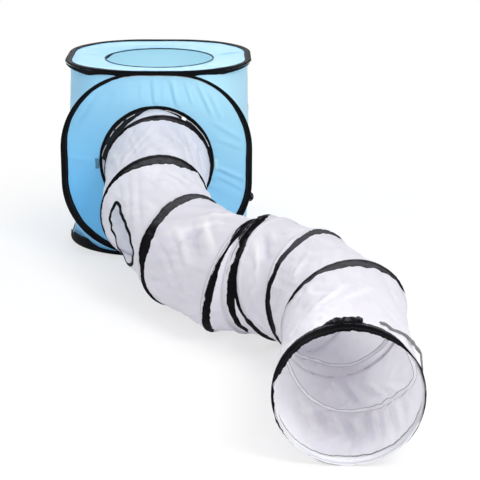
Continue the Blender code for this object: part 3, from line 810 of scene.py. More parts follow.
# The rolled rim from behind the wire to inside the mouth: distance walked, radius and place along.
ROLL = ((-0.030, 0.1219, -0.030), (-0.006, 0.1219, -0.006), (-0.0035, 0.1251, -0.0035),
        (0.0, 0.1255, 0.0), (0.0055, 0.1256, 0.0055), (0.0076, 0.1248, 0.0076),
        (0.0086, 0.1240, 0.0079), (0.030, 0.1026, 0.0074))
RIM_WANDER = 0.0011
RIM_PUFF = 0.0020
start, end = stops_round(RIM_STOPS), stops_round(RIM_STOPS, 2)
frayed = np.minimum(1, (end - start) / FRAY_WIDTH)
start = start + pucker(64.0, RIM_WANDER) * frayed
end = end + pucker(61.0, FRONT_WANDER) * frayed
puff = rise * (RIM_PUFF - np.abs(pucker(67.0, RIM_WANDER))) * frayed
rim_black = []
for share in np.linspace(0, 1, 22):
    walked = start + (end - start) * share
    radius, along = stops_at(walked, ROLL), stops_at(walked, ROLL, 2)
    rim_black.append((radius + 0.0003 + puff * math.sin(share * math.pi), along + 0.0002))
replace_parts(hoop_piece("binding_10", 10, rim_black, soft_tape), "sleeve_10")
print("rim tape rolled")

# %% Rim lining and its threads
LINING_STOPS = ((0, 4), (190, 1.5), (215, 1.5), (235, 4), (252, 10), (270, 14), (300, 11), (330, 8))
# Radius and place along where the lining rolls out, then its place along where it stays in.
LIP = ((0.1232, 0.0082, 0.0064), (0.1252, 0.0085, 0.0064), (0.1257, 0.0072, 0.0062),
       (0.1257, 0.0030, 0.0060), (0.1253, -0.0030, 0.0060), (0.1222, -0.0062, 0.0060))
INNER_THREAD = ((196, 0), (206, 0.7), (262, 0.8), (284, 1.1), (320, 0.7), (345, 0.5), (356, 0))
OUTER_THREAD = ((198, 0), (203, 1.6), (213, 1.0), (219, 0), (243, 0), (250, 0.8), (263, 0.6), (268, 0),
                (318, 0), (325, 0.6), (334, 0.6), (340, 0))
LINING_WANDER = 0.0008
THREAD_UNEVEN = 0.24
ROLL_WANDER = 0.0012
lip = stops_round(((0, 0), (196, 0), (216, 1000), (326, 1000), (342, 0)))
lining_back = stops_round(LINING_STOPS) + pucker(73.0, LINING_WANDER)
roll = -np.abs(pucker(71.0, ROLL_WANDER))
rim_white = [(CLOTH_RADIUS - 0.0008, -lining_back), (CLOTH_RADIUS - 0.0017, 0.0008 - lining_back),
             (CLOTH_RADIUS - 0.0018, 0.0), (0.1222, 0.0058)]
for low_radius, low_along, high_along in LIP:
    rim_white.append((between(0.1228, low_radius + roll, lip), between(high_along, low_along, lip)))
hoop_piece("rim_lining", 10, rim_white, rim_tape)
for label, radius, along, stops, finish in (
        ("inner", CLOTH_RADIUS - 0.0019, 0.0006 - lining_back, INNER_THREAD, grey_ribbon),
        ("outer", 0.1256 + roll, 0.0076, OUTER_THREAD, soft_tape)):
    thread = stops_round(stops) * (1 + pucker(81.0, THREAD_UNEVEN))
    section = [(radius + thread * math.sin(a), along + thread * math.cos(a))
               for a in np.linspace(0, 2 * math.pi, 7)]
    hoop_piece("rim_thread_" + label, 10, section, finish)
print("rim lined")

# %% [markdown]
# ## Cube hoops
#
# Each of the cube's four frames is a rounded square of spring wire in a fold of black tape.
# The tape is swept along the rounded square; its section is a flattened tube whose inner lips
# meet over the cloth, and it swells and narrows a little because it is sewn by hand.

# %% Rounded square path
HALF = 0.225
UPRIGHT_HALF = 0.2187
CORNER = 0.180
MIDDLE_HEIGHT = 0.225
# Middle, way across, way up and half height of each frame.
FRAMES = {
    "front": (np.array((0, -0.222, MIDDLE_HEIGHT)), X, Z, UPRIGHT_HALF),
    "back": (np.array((0, 0.222, MIDDLE_HEIGHT)), X, Z, UPRIGHT_HALF),
    "top": (np.array((0, 0, 0.447)), X, Y, HALF),
    "bottom": (np.array((0, 0, 0.003)), X, Y, HALF),
}


def rounded_square(half_width, half_height, corner, gap=0.004):
    """Points and outward ways round a rounded square, evenly spaced."""
    points, ways = [], []
    for turn, side in enumerate(((1, 1), (-1, 1), (-1, -1), (1, -1))):
        middle = np.array((side[0] * (half_width - corner), side[1] * (half_height - corner)))
        steps = int(corner * math.pi / 2 / gap)
        for step in range(steps + 1):
            angle = math.pi / 2 * (turn + step / steps)
            ways.append(np.array((math.cos(angle), math.sin(angle))))
            points.append(middle + corner * ways[-1])
        straight = 2 * ((half_height if turn % 2 else half_width) - corner)
        across = np.array((-math.sin(math.pi / 2 * (turn + 1)), math.cos(math.pi / 2 * (turn + 1))))
        count = int(straight / gap)
        for step in range(1, count):
            points.append(middle + corner * ways[-1] + across * straight * step / count)
            ways.append(ways[-1])
    return np.array(points), np.array(ways)


def in_plane(origin, across, up, flat, lift):
    """Flat points (across, up) and their lift off the plane, as places in the room."""
    return origin + flat[..., :1] * across + flat[..., 1:] * up + lift * np.cross(across, up)


print("frames", list(FRAMES))

# %% Tape round the cube's frames
SWELL = 0.0016
TWIST = 0.0006
HALF_THICK = 0.00295
# The folded tape's section: share of its width inwards, share of its half thickness.
FOLD = ((0.0, 0.30), (0.04, 0.62), (0.12, 0.88), (0.22, 1.0), (0.36, 0.98), (0.52, 0.84), (0.70, 0.62),
        (0.86, 0.46), (1.0, 0.34))
# Width in millimetres by the turn round the frame.
WIDTHS = {
    "front": ((0, 15), (30, 12.5), (50, 9), (75, 6), (90, 5), (115, 6.5), (135, 10), (155, 14),
              (180, 16.5), (200, 17.5), (225, 17), (250, 12), (270, 11), (300, 12), (320, 16), (345, 16)),
    "back": ((0, 12.5), (45, 10.5), (90, 9), (135, 11), (180, 12.5), (225, 11), (270, 12), (315, 10)),
    "top": ((0, 16), (25, 15), (55, 13), (90, 14), (140, 13), (175, 15), (215, 16), (235, 21), (250, 18),
            (270, 9), (290, 16), (310, 19), (335, 14)),
    "bottom": ((0, 13), (90, 12), (180, 20), (205, 30), (232, 34), (252, 22), (270, 13)),
}


def hoop_tape(side, body, seed):
    """Tape round one cube hoop."""
    origin, across, up, half_height = FRAMES[side]
    outline, ways = rounded_square(HALF, half_height, CORNER)
    bearing = np.degrees(np.arctan2(outline[:, 1], outline[:, 0]))
    width = stops_at(bearing, WIDTHS[side], period=360) / 1000
    swell = ripple(*outline.T, 14, seed)
    twist = ripple(*outline.T, 45, seed + 4)
    ring = []
    profile = FOLD + tuple((inward, -thick) for inward, thick in FOLD[::-1])
    for inward, thick in profile:
        reach = inward * (width + SWELL * swell + TWIST * twist)
        lift = thick * (HALF_THICK - 0.0002 * np.abs(twist))
        ring.append(in_plane(origin, across, up, outline - reach[:, None] * ways, lift[:, None]))
    marks = {"along": walked_along(outline),
             "across": 0.5 + 0.5 * np.array([inward for inward, thick in profile])[:, None]}
    piece = grid_piece("tape_" + side, np.array(ring), black_tape,
                       round_columns=True, round_rows=True, marks=marks)
    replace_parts(piece, "hoop_tape_" + side)
    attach(piece, body)


for side, body, seed in (("front", "front", 1.0), ("back", "back", 2.0), ("top", "top", 3.0),
                         ("bottom", "base", 4.0)):
    hoop_tape(side, body, seed)
print("cube tapes", list(WIDTHS))

# %% Free edges of the frame tapes
# Name, body, height it starts at, 1 for up or -1 for down, then degrees with millimetres.
SKIRTS = (
    ("skirt_roof", "top", 0.4452, -1, ((182, 0), (198, 4), (214, 8), (230, 13), (246, 13), (259, 5),
                                       (270, 3), (281, 5), (293, 9), (310, 9), (330, 5), (350, 0))),
    ("skirt_floor_left", "base", 0.0048, 1, ((184, 0), (196, 14), (210, 24), (228, 24), (244, 15),
                                             (262, 0))),
    ("skirt_floor_right", "base", 0.0048, 1, ((282, 0), (300, 9), (320, 12), (338, 7), (350, 0))),
)


def skirt(name, body, level, way, stops):
    """The tape's free edge that stands on the side cloth, up or down; stops are (degrees, mm)."""
    outline, ways = rounded_square(HALF, HALF, CORNER)
    bearing = np.degrees(np.arctan2(outline[:, 1], outline[:, 0])) % 360
    kept = (bearing >= stops[0][0]) & (bearing <= stops[-1][0])
    order = np.argsort(bearing[kept])
    spots, outs, bearing = outline[kept][order], ways[kept][order], bearing[kept][order]
    tall = stops_at(bearing, stops) / 1000 * (1 + 0.15 * ripple(*spots.T, 60, level))
    share = np.linspace(0, 1, 7)[:, None]
    flat = spots[None] + (0.0008 - 0.0012 * share[..., None]) * outs[None]
    points = np.concatenate([flat, (level + way * share * tall)[..., None]], 2)
    piece = grid_piece(name, points, black_tape, marks={"along": walked_along(spots), "across": share})
    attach(piece, body)
    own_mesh(piece)


for row in SKIRTS:
    skirt(*row)
print("free edges", len(SKIRTS))

# %% [markdown]
# ## Cube panels
#
# The panels are stretched flat in their frames, so they are near flat sheets. What tells the
# eye that they are cloth is the strain: creases run from the round opening to the frame. They
# are drawn as a list of short ridges, each with two ends, a width and a height.

# %% Panel with creases
TUCKED = 0.0035
PANEL_ROWS = 44
PLEAT_REACH = 0.045


def ridge_field(x, z, ridges):
    """Height of a set of soft ridges over a flat panel."""
    height = np.zeros_like(x)
    for x0, z0, x1, z1, width, rise in ridges:
        length = math.hypot(x1 - x0, z1 - z0)
        line = (x1 - x0) / length, (z1 - z0) / length
        ahead = ((x - x0) * line[0] + (z - z0) * line[1]) / length
        off = (x - x0) * line[1] - (z - z0) * line[0]
        body = np.clip(np.sin(np.clip(ahead, 0, 1) * math.pi), 0, 1) ** 0.6
        crest, hollow = (np.exp(-((off - shift) / width) ** 2) for shift in (0, 1.7 * width))
        height += rise * body * (crest - 0.45 * hollow)
    return height


def panel(side, opening, ridges, slack, seed, pleats=0.0, sag=0.0):
    """A sheet from its opening (across, up, radius), or its middle, out to its frame."""
    origin, across, up, half_height = FRAMES[side]
    outline = rounded_square(HALF - TUCKED, half_height - TUCKED, CORNER - TUCKED, 0.005)[0]
    away = outline - opening[:2]
    round_way = spokes(np.arctan2(away[:, 1], away[:, 0]), X[:2], Y[:2])
    share = np.linspace(0, 1, PANEL_ROWS)[:, None]
    flat = between(opening[:2] + opening[2] * round_way, outline, share[..., None])
    x, z = flat[..., 0], flat[..., 1]
    inside = np.minimum(1, share * 10) * np.minimum(1, (1 - share) * 6)
    lift = ridge_field(x, z, ridges) * inside
    lift = lift + slack * inside * (ripple(x, z, 9, seed) + 0.35 * ripple(x, z, 31, seed + 3))
    beyond = np.hypot(x - opening[0], z - opening[1]) - opening[2]
    gathered = ripple(*round_way.T, 9, seed + 6)
    lift = lift + pleats * inside * np.exp(-beyond / PLEAT_REACH) * gathered - sag * (1 - share) ** 1.5
    points = in_plane(origin, across, up, flat, lift[..., None])
    piece = grid_piece("cloth_" + side, points, blue_cloth, round_columns=True)
    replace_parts(piece, "panel_" + side)
    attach(piece, side)
    # A stretched sheet covers no more than the square that it is cut from.
    area = min(surface_of(points), 3.99 * HALF * half_height)


print("panel kit ready")

# %% Front, roof and back panels
# Across and up of both ends, then width and height.
FRONT_RIDGES = (
    (-0.006, 0.208, -0.002, 0.146, 0.0040, 0.0070), (0.010, 0.200, 0.012, 0.140, 0.0030, -0.0040),
    (0.036, 0.208, 0.052, 0.140, 0.0050, 0.0064), (0.068, 0.204, 0.086, 0.142, 0.0035, 0.0034),
    (-0.030, 0.204, -0.034, 0.152, 0.0060, 0.0030), (-0.062, 0.204, -0.084, 0.140, 0.0060, 0.0040),
    (-0.092, 0.200, -0.118, 0.134, 0.0055, 0.0034), (0.096, 0.202, 0.132, 0.120, 0.0055, 0.0040),
    (0.118, 0.190, 0.156, 0.110, 0.0060, 0.0022), (0.132, 0.104, 0.206, 0.062, 0.0060, 0.0026),
    (0.138, 0.066, 0.208, 0.040, 0.0055, 0.0022), (0.140, -0.004, 0.212, -0.036, 0.0045, 0.0058),
    (0.140, -0.022, 0.212, -0.062, 0.0045, 0.0030), (-0.128, 0.196, -0.196, 0.090, 0.0090, 0.0036),
    (-0.146, 0.166, -0.204, 0.070, 0.0080, 0.0030), (-0.142, 0.010, -0.208, 0.020, 0.0060, 0.0018),
    (-0.135, -0.060, -0.193, -0.110, 0.0090, 0.0026), (0.110, -0.120, 0.163, -0.163, 0.0080, 0.0028),
    (-0.090, -0.145, -0.130, -0.183, 0.0080, 0.0026),
)
TOP_RIDGES = (
    (-0.13, 0.02, -0.20, 0.05, 0.008, 0.0012), (0.14, 0.03, 0.20, 0.06, 0.008, 0.0012),
    (-0.10, -0.10, -0.16, -0.16, 0.007, 0.0012), (0.10, -0.10, 0.16, -0.17, 0.007, 0.0012),
)
BACK_RIDGES = (
    (-0.16, 0.16, 0.02, 0.02, 0.012, 0.0016), (0.16, 0.16, -0.02, 0.03, 0.012, 0.0016),
    (-0.15, -0.15, 0.0, -0.02, 0.012, 0.0014), (0.15, -0.15, 0.01, -0.02, 0.012, 0.0014),
)
panel("front", (0.0, 0.008, 0.1285), FRONT_RIDGES, 0.0014, 1.0, pleats=0.0022)
panel("top", (0.0, 0.0, 0.1325), TOP_RIDGES, 0.0012, 2.0, sag=0.006)
panel("back", (0.0, 0.0, 0.0005), BACK_RIDGES, 0.0012, 3.0)
print("panels done")

# %% Floor panel
TUCKED_LOW = 0.009
FLOOR_LIFT, EDGE_LIFT, FLOOR_RIPPLE = 0.0008, 0.0022, 0.0012
outline = rounded_square(HALF - TUCKED_LOW, HALF - TUCKED_LOW, CORNER - TUCKED_LOW, 0.006)[0]
share = np.linspace(0.004, 1, 60)[:, None]
x, y = np.moveaxis(outline[None] * share[..., None], -1, 0)
near_edge = np.clip((share - 0.86) / 0.12, 0, 1)
level = FLOOR_LIFT + EDGE_LIFT * near_edge ** 2 * (3 - 2 * near_edge)
level = level + np.abs(FLOOR_RIPPLE * ripple(x, y, 12, 8.0)) * np.minimum(1, (1 - share) * 8)
points = np.stack([x, y, level], -1)
piece = grid_piece("cloth_bottom", points, blue_cloth, round_columns=True)
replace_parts(piece, "panel_bottom")
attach(piece, "base")
surface_of(points)
print("floor panel lies", level.min().round(4), "to", level.max().round(4), "m up")

# %% [markdown]
# ## Side gussets
#
# Nothing holds the cube's two sides but the four frames. The cloth there runs straight from
# frame to frame along its middle, and towards the corners, where threads that cross would
# stand at different reaches, it eases. So each point starts at the larger of two frame
# outlines and then settles part of the way towards its neighbours. The piece is split at mid
# height, because when the cube folds its lower half goes flat on the floor and its upper half
# goes flat under the roof.

# %% Side cloth
SETTLING = 120
GUSSET_STEPS = 72
STRAIN_LONG, STRAIN_SHORT = 0.0016, 0.0012
GUSSET_LOW = 0.0066
GUSSET_HIGH = 0.4434


def frame_edge(walked, half):
    """Reach and height of a frame's side at a distance walked from its middle."""
    straight = HALF - CORNER
    angle = np.clip((np.abs(walked) - straight) / CORNER, 0, None)
    reach = np.where(angle > 0, straight + CORNER * np.cos(angle), HALF)
    height = np.where(angle > 0, straight + CORNER * np.sin(angle), np.abs(walked))
    return reach, np.sign(walked) * height * half / HALF


def gusset_points(side):
    """The eased side cloth, with light strain lines from its corners."""
    span = math.pi * CORNER + 2 * (HALF - CORNER)
    walked = np.linspace(-span / 2, span / 2, GUSSET_STEPS + 1)
    edge, ys = frame_edge(walked, UPRIGHT_HALF)
    zs = frame_edge(walked, HALF - GUSSET_LOW)[1]
    reach = np.maximum(edge[:, None], edge[None])
    for sweep in range(SETTLING):
        neighbours = reach[:-2, 1:-1] + reach[2:, 1:-1] + reach[1:-1, :-2] + reach[1:-1, 2:]
        reach[1:-1, 1:-1] = neighbours / 4
    y, z = np.meshgrid(ys, zs, indexing="ij")
    inside = np.minimum(1, (1 - np.abs(walked) / (span / 2)) * 5)
    inside = inside[:, None] * inside[None]
    strain = STRAIN_LONG * rough(y * 6, z * 34, side * 3.0)
    strain = strain + STRAIN_SHORT * rough(y * 30, z * 7, side * 5.0)
    x = side * (reach - TUCKED - inside * np.abs(strain))
    return np.stack([x, y, z + MIDDLE_HEIGHT], -1)


for side, label in ((1, "right"), (-1, "left")):
    whole = gusset_points(side)
    if side < 0:
        whole = whole[::-1]
    guide = grid_piece("guide", whole, blue_cloth)
    shading = np.zeros(whole.size)
    guide.data.vertices.foreach_get("normal", shading)
    shading = shading.reshape(whole.shape)
    bpy.data.objects.remove(guide, do_unlink=True)
    halfway = whole.shape[1] // 2
    for part, cut, body, level, tape in (
            ("lower", slice(0, halfway + 1), "base", GUSSET_LOW, "tape_bottom"),
            ("upper", slice(halfway, None), "top", GUSSET_HIGH, "tape_top")):
        points = whole[:, cut]
        piece = grid_piece("side_%s_%s" % (label, part), points, blue_cloth)
        piece.data.normals_split_custom_set_from_vertices(shading[:, cut].reshape(-1, 3).tolist())
        if part == "lower":
            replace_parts(piece, "gusset_" + label)
        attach(piece, body)
        surface_of(points)
        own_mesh(piece)
print("gussets done")

# %% [markdown]
# ## Opening bindings
#
# The raw edge of each round opening is closed with narrow tape folded over it. The front one
# is wide and black; the roof's is a slim dark teal edge.

# %% Round bindings on the panels
# Share of the tape's width out from the opening, share of its thickness.
EDGE_FOLD = ((0.0, 0.0), (0.03, 0.45), (0.10, 0.8), (0.25, 1.0), (0.6, 0.9), (0.92, 0.7), (1.0, 0.25),
             (1.0, -0.25), (0.92, -0.7), (0.6, -0.9), (0.25, -1.0), (0.10, -0.8), (0.03, -0.45))


def ring_tape(side, origin, inner, outer, thick, finish, seed):
    """Folded tape round an opening in a panel."""
    across, up = FRAMES[side][1:3]
    angles = circle(240)
    way = spokes(angles, X[:2], Y[:2])
    wide = ripple(*way.T, 6, seed) + 0.5 * ripple(*way.T, 24, seed)
    rows = []
    for share, lift in EDGE_FOLD:
        radius = inner + share * (outer - inner) + 0.0006 * wide * share
        rows.append(in_plane(origin, across, up, radius[:, None] * way, lift * thick))
    marks = {"along": angles * inner, "across": np.array([share for share, lift in EDGE_FOLD])[:, None]}
    piece = grid_piece("edge_" + side, np.array(rows), finish,
                       round_columns=True, round_rows=True, marks=marks)
    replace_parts(piece, "opening_tape_" + side)
    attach(piece, side)


ring_tape("front", np.array((0, -0.222, 0.233)), 0.1262, 0.1350, 0.0020, black_tape, 3.0)
ring_tape("top", np.array((0, 0, 0.441)), 0.1308, 0.1346, 0.0016, teal_tape, 6.0)
print("opening bindings done")

# %% [markdown]
# ## Ties, tabs and the peephole
#
# Small cloth parts finish the toy: a leaf-shaped peephole with its binding, the collar, the
# knot and its tail on the front rim, the tabs, and the loop that holds the folded cube shut.
# Most are short strips swept along their own line.

# %% Strip along a line
# A ribbon's section: share of its half width, share of its half thickness.
RIBBON = ((-1.0, 0.0), (-0.92, 0.8), (-0.5, 1.0), (0.5, 1.0), (0.92, 0.8), (1.0, 0.0), (0.92, -0.8),
          (0.5, -1.0), (-0.5, -1.0), (-0.92, -0.8))


def path_ahead(path, closed=False):
    """The way ahead at each point of a path."""
    ahead = np.roll(path, -1, 0) - np.roll(path, 1, 0)
    if not closed:
        ahead[0], ahead[-1] = path[1] - path[0], path[-1] - path[-2]
    return ahead


def strip(name, path, ways, width, thick, finish, closed=False, seed=0.0):
    """Flat ribbon along a path; ways are the directions across its width, or one for all."""
    ways = np.broadcast_to(ways, path.shape)
    face = unit(np.cross(path_ahead(path, closed), ways))
    along = walked_along(path)
    uneven = 1 + 0.06 * rough(along * 90, seed)
    rows = [path + (s * width / 2 * uneven)[:, None] * ways + t * thick / 2 * face for s, t in RIBBON]
    marks = {"along": along, "across": np.array([(s + 1) / 2 for s, t in RIBBON])[:, None]}
    return grid_piece(name, np.array(rows), finish, round_columns=closed, round_rows=True, marks=marks)


def smooth_path(points, count, closed=False):
    """A curve through the points, as evenly counted samples."""
    points = np.array(points, float)
    if closed:
        stops = np.linspace(0, len(points), count, endpoint=False)
        padded = np.vstack([points[-1:], points, points[:2]])
    else:
        stops = np.linspace(0, len(points) - 1, count)
        padded = np.vstack([2 * points[0] - points[1], points, 2 * points[-1] - points[-2]])
    made = []
    for stop in stops:
        k = min(int(stop), len(padded) - 4)
        t = stop - k
        p0, p1, p2, p3 = padded[k:k + 4]
        made.append(0.5 * (2 * p1 + (p2 - p0) * t + (2 * p0 - 5 * p1 + 4 * p2 - p3) * t * t
                           + (3 * p1 - p0 - 3 * p2 + p3) * t ** 3))
    return np.array(made)


print("strip kit ready")

# %% Strips and patches that lie on the tunnel
def cloth_strip(name, first, parts, degrees, width, thick, finish, out, closed=False, evened=0,
                standing=0.0):
    """Ribbon on the tunnel cloth; evened takes out its ripples, standing tips it on edge."""
    path, out_ways = on_cloth(first, parts, degrees, out)
    for sweep in range(evened):
        eased = (np.roll(path, 1, 0) + 2 * path + np.roll(path, -1, 0)) / 4
        path = eased if closed else np.vstack([path[:1], eased[1:-1], path[-1:]])
    ways = unit(between(unit(np.cross(path_ahead(path, closed), out_ways)), out_ways, standing))
    piece = strip(name, path, ways, width, thick, finish, closed, first)
    follow_cloth(piece, first)
    return piece


def cloth_patch(name, first, turn_0, turn_1, near, far, out, finish):
    """Tape laid flat over part of a tunnel cloth, its near and far edges given as stops along it."""
    run = np.linspace(0, 1, 90)
    uneven = 0.02 * rough(run * 22, 0, first * 2.7)
    share = np.linspace(0, 1, 9)[:, None]
    parts = between(spread(near, run) + uneven, spread(far, run) - uneven, share)
    degrees = turn_0 + (turn_1 - turn_0) * run
    lift = out * np.minimum(1, 14 * share * (1 - share)) * np.minimum(1, 20 * run * (1 - run))
    points = on_cloth(first, parts, degrees, lift + 0.0003)[0]
    wide = np.linalg.norm(points[-1] - points[0], axis=1)
    marks = {"along": np.radians(run * abs(turn_1 - turn_0)) * HOOP_RADIUS, "across": share}
    follow_cloth(grid_piece(name, points, finish, marks=marks), first)
    print(name, "is", round(float(wide.max()) * 1000), "mm at its widest")


print("cloth strips ready")

# %% [markdown]
# ## Peephole
#
# The peephole is a leaf-shaped window, bound in the same black tape as the hoops. The leaf is
# one closed curve in the cloth's own two numbers, its part of the length and its turn, so the
# hole and its binding both follow the curve of the tunnel. The cloth's faces inside the curve
# go, and the points that are left round the hole move onto it.

# %% Leaf hole and its binding
# Part of the length and turn at stops round the leaf.
LEAF = ((0.20, 155.5), (0.17, 165), (0.175, 175), (0.22, 187), (0.31, 198), (0.43, 206), (0.56, 208),
        (0.72, 202), (0.82, 192), (0.845, 182), (0.78, 172), (0.63, 165.5), (0.41, 160.5))


def cut_leaf(piece, first, outline):
    """Open the cloth inside the outline and draw its new edge onto the outline."""
    rows = dressed[first].shape[0] - 1
    reach = np.linalg.norm(hoops[first + 1][0] - hoops[first][0])
    scale = np.array((reach, math.radians(1) * CLOTH_RADIUS))
    corners = outline * scale

    def inside(spot):
        """Whether an odd number of the leaf's sides lies to one side of the spot."""
        a, b = corners, np.roll(corners, -1, 0)
        crosses = (a[:, 1] > spot[1]) != (b[:, 1] > spot[1])
        with np.errstate(divide="ignore", invalid="ignore"):
            edge = (b[:, 0] - a[:, 0]) * (spot[1] - a[:, 1]) / (b[:, 1] - a[:, 1]) + a[:, 0]
        return np.count_nonzero(crosses & (spot[0] < edge)) % 2 == 1

    def spot_of(vertex):
        """A cloth point's metres along the length and round it."""
        return np.array((vertex.index // AROUND / rows, vertex.index % AROUND * 360 / AROUND)) * scale

    def in_hole(face):
        """Whether the face lies in the leaf; turns can't be averaged where a face closes the ring."""
        columns = [v.index % AROUND for v in face.verts]
        closes_ring = max(columns) - min(columns) > 1
        return not closes_ring and inside(sum(spot_of(v) for v in face.verts) / 4)

    work = bmesh.new()
    work.from_mesh(piece.data)
    gone = {face for face in work.faces if in_hole(face)}
    edge_points = {v for face in gone for v in face.verts if any(f not in gone for f in v.link_faces)}
    for vertex in edge_points:
        nearest = outline[np.argmin(np.linalg.norm(corners - spot_of(vertex), axis=1))]
        vertex.co = on_cloth(first, nearest[0], nearest[1])[0]
    bmesh.ops.delete(work, geom=list(gone), context="FACES")
    work.to_mesh(piece.data)
    work.free()


leaf = smooth_path(LEAF, 160, closed=True)
cut_leaf(bpy.data.objects["tunnel_cloth_03_04"], 3, leaf)
piece = cloth_strip("peephole_binding", 3, leaf[:, 0], leaf[:, 1], 0.0084, 0.0018, black_tape, 0.0003,
                    closed=True)
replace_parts(piece, "peephole_tape")
print("peephole bound")

# %% [markdown]
# ## Trim at the cube end
#
# Where the tunnel leaves the cube a collar runs from the edge of the opening onto the first
# length of cloth. It is black tape at both sides, laid in by hand, that tapers away towards
# the crown, where the cloth is bare. Pale piping and one white tab lie on it.

# %% Collar, piping and tab by the cube
EDGE_MIDDLE = np.array((0, -0.2240, 0.233))
EDGE_RADIUS = 0.1280
COLLAR_ARCH = 0.0022


def collar_place(share, degrees, far, lift=0.0):
    """A place on the collar: share of the way from the opening's edge to a part of the first cloth."""
    share, degrees, far = np.broadcast_arrays(share, degrees, far)
    edge = EDGE_MIDDLE + EDGE_RADIUS * spokes(np.radians(degrees), X, Z)
    laid, way = on_cloth(1, far, degrees, 0.0006)
    share = share[..., None]
    return between(edge, laid, share) + (COLLAR_ARCH * np.sin(share * math.pi) + lift) * way, way


def collar(name, turn_0, turn_1, stops, finish, breadths=(1.0,), lift=0.0):
    """Part of the collar between two turns: its far edge along the first cloth, how much it covers."""
    run = np.linspace(0, 1, 110)
    far = spread(stops, run) + 0.03 * rough(run * 20, 0, turn_0)
    degrees = turn_0 + (turn_1 - turn_0) * run
    share = np.linspace(0, 1, 14)[:, None] * spread(breadths, run)
    points = collar_place(share, degrees, far, lift)[0]
    marks = {"along": np.radians(degrees) * HOOP_RADIUS, "across": share}
    follow_cloth(grid_piece(name, points, finish, marks=marks), 1)


def piping(name, share, degrees, far, width):
    """Narrow white strip on the collar."""
    path, outs = collar_place(share, degrees, far, 0.0016)
    ways = unit(np.cross(np.gradient(path, axis=0), outs))
    follow_cloth(strip(name, path, ways, width, 0.0012, white_tape, seed=3.0), 1)


collar("collar_black_left", 177, 98, (0.20, 0.44, 0.62, 0.70, 0.72, 0.72, 0.72, 0.72), black_tape,
       (1, 1, 0.97, 0.93, 0.86, 0.74, 0.52, 0.06))
collar("collar_black_right", 86, 3, (0.70, 0.68, 0.64, 0.62, 0.62, 0.58, 0.40), black_tape,
       (0.06, 0.45, 0.85, 1, 1, 1, 1))
collar("collar_crown", 150, 60, (0.60, 0.68, 0.70, 0.70, 0.62), white_cloth, lift=-0.0006)
collar("collar_low_left", 222, 175, (0.20, 0.30, 0.30), white_cloth)
run = np.linspace(0, 1, 60)
for label, turn_0, turn_1, share_0, share_1 in (("first", 148, 141, 0.42, 0.40),
                                                ("second", 138, 127, 0.40, 0.34),
                                                ("third", 123, 113, 0.34, 0.30)):
    piping("piping_" + label, share_0 + (share_1 - share_0) * run, turn_0 + (turn_1 - turn_0) * run,
           0.8, 0.0022)
piping("piping_low", 0.20 + 0.25 * run, 172 - 14 * run, 0.7, 0.0026)
piping("piping_right", 0.22 + 0.20 * np.sin(run * math.pi), 80 - 62 * run, 0.6, 0.0030)
piping("cube_end_tab", np.linspace(0.30, 1.0, 16), 59.5, 0.62, 0.012)
print("cube end trimmed")

# %% [markdown]
# ## Seams inside the mouth
#
# The tunnel's cloth is joined in lengths between the hoops. From outside the seam is flat, but
# inside the raw edges stand up, bound in white tape, and show as slanting arcs in the mouth.

# %% Inner seams
# The hoop before each seam, then turns with the seam's part of the length there.
SEAM_STOPS = {
    "near": (9, ((5, 0.87), (25, 0.92), (60, 0.75), (90, 0.52), (150, 0.28), (209, 0.24), (227, 0.335),
                 (245, 0.405), (263, 0.46), (278, 0.50), (296, 0.55), (316, 0.625), (336, 0.72),
                 (351, 0.80))),
    "far": (8, ((0, 0.90), (90, 0.62), (180, 0.36), (225, 0.34), (237, 0.42), (254, 0.58), (264, 0.67),
                (276, 0.77), (289, 0.85), (302, 0.90), (315, 0.93), (328, 0.94))),
}
around = np.linspace(0, 360, 240, endpoint=False)
for label, (first, stops) in SEAM_STOPS.items():
    parts = stops_at(around, stops, period=360)
    broad = 0.0070 + 0.0055 * np.exp(-((around - 325) / 30) ** 2)
    cloth_strip("inner_seam_" + label, first, parts, around, broad, 0.0012, seam_tape,
                -0.0015 - broad / 2, closed=True, evened=20, standing=0.8)
print("inner seams sewn")

# %% [markdown]
# ## Tie and tail at the rim
#
# A black tie is knotted over the top of the front hoop and its grey tail lies down the cloth.
# The knot is modelled as the real one is tied: a bunch of tape along the rim, wrapped by
# three slanting turns.

# %% Knot
middle, right, up, forward = hoops[10]
knot_middle = sum(np.array(corner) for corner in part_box("tie_knot")) / 2
KNOT_AT = (knot_middle - middle - up * HOOP_RADIUS) @ right - 0.008
# Across from the knot's middle, lift off the rim and place ahead of it, then half height and depth.
BUNCH = ((-0.038, 0.0004, -0.001, 0.0006, 0.002), (-0.027, 0.0022, -0.002, 0.0028, 0.005),
         (-0.016, 0.0034, 0.0, 0.0046, 0.0075), (-0.004, 0.0036, 0.001, 0.0042, 0.008),
         (0.008, 0.0034, -0.001, 0.0040, 0.0075), (0.018, 0.0050, 0.0, 0.0052, 0.007),
         (0.025, 0.0050, 0.001, 0.0048, 0.006), (0.027, 0.0046, 0.001, 0.0008, 0.001))


def over_rim(across, lift, ahead):
    """A place over the rim: across along the hoop, lift off its band, ahead of it."""
    turn = math.pi / 2 - across / HOOP_RADIUS
    out = math.cos(turn) * right + math.sin(turn) * up
    return middle + (HOOP_RADIUS + lift) * out + ahead * forward, out


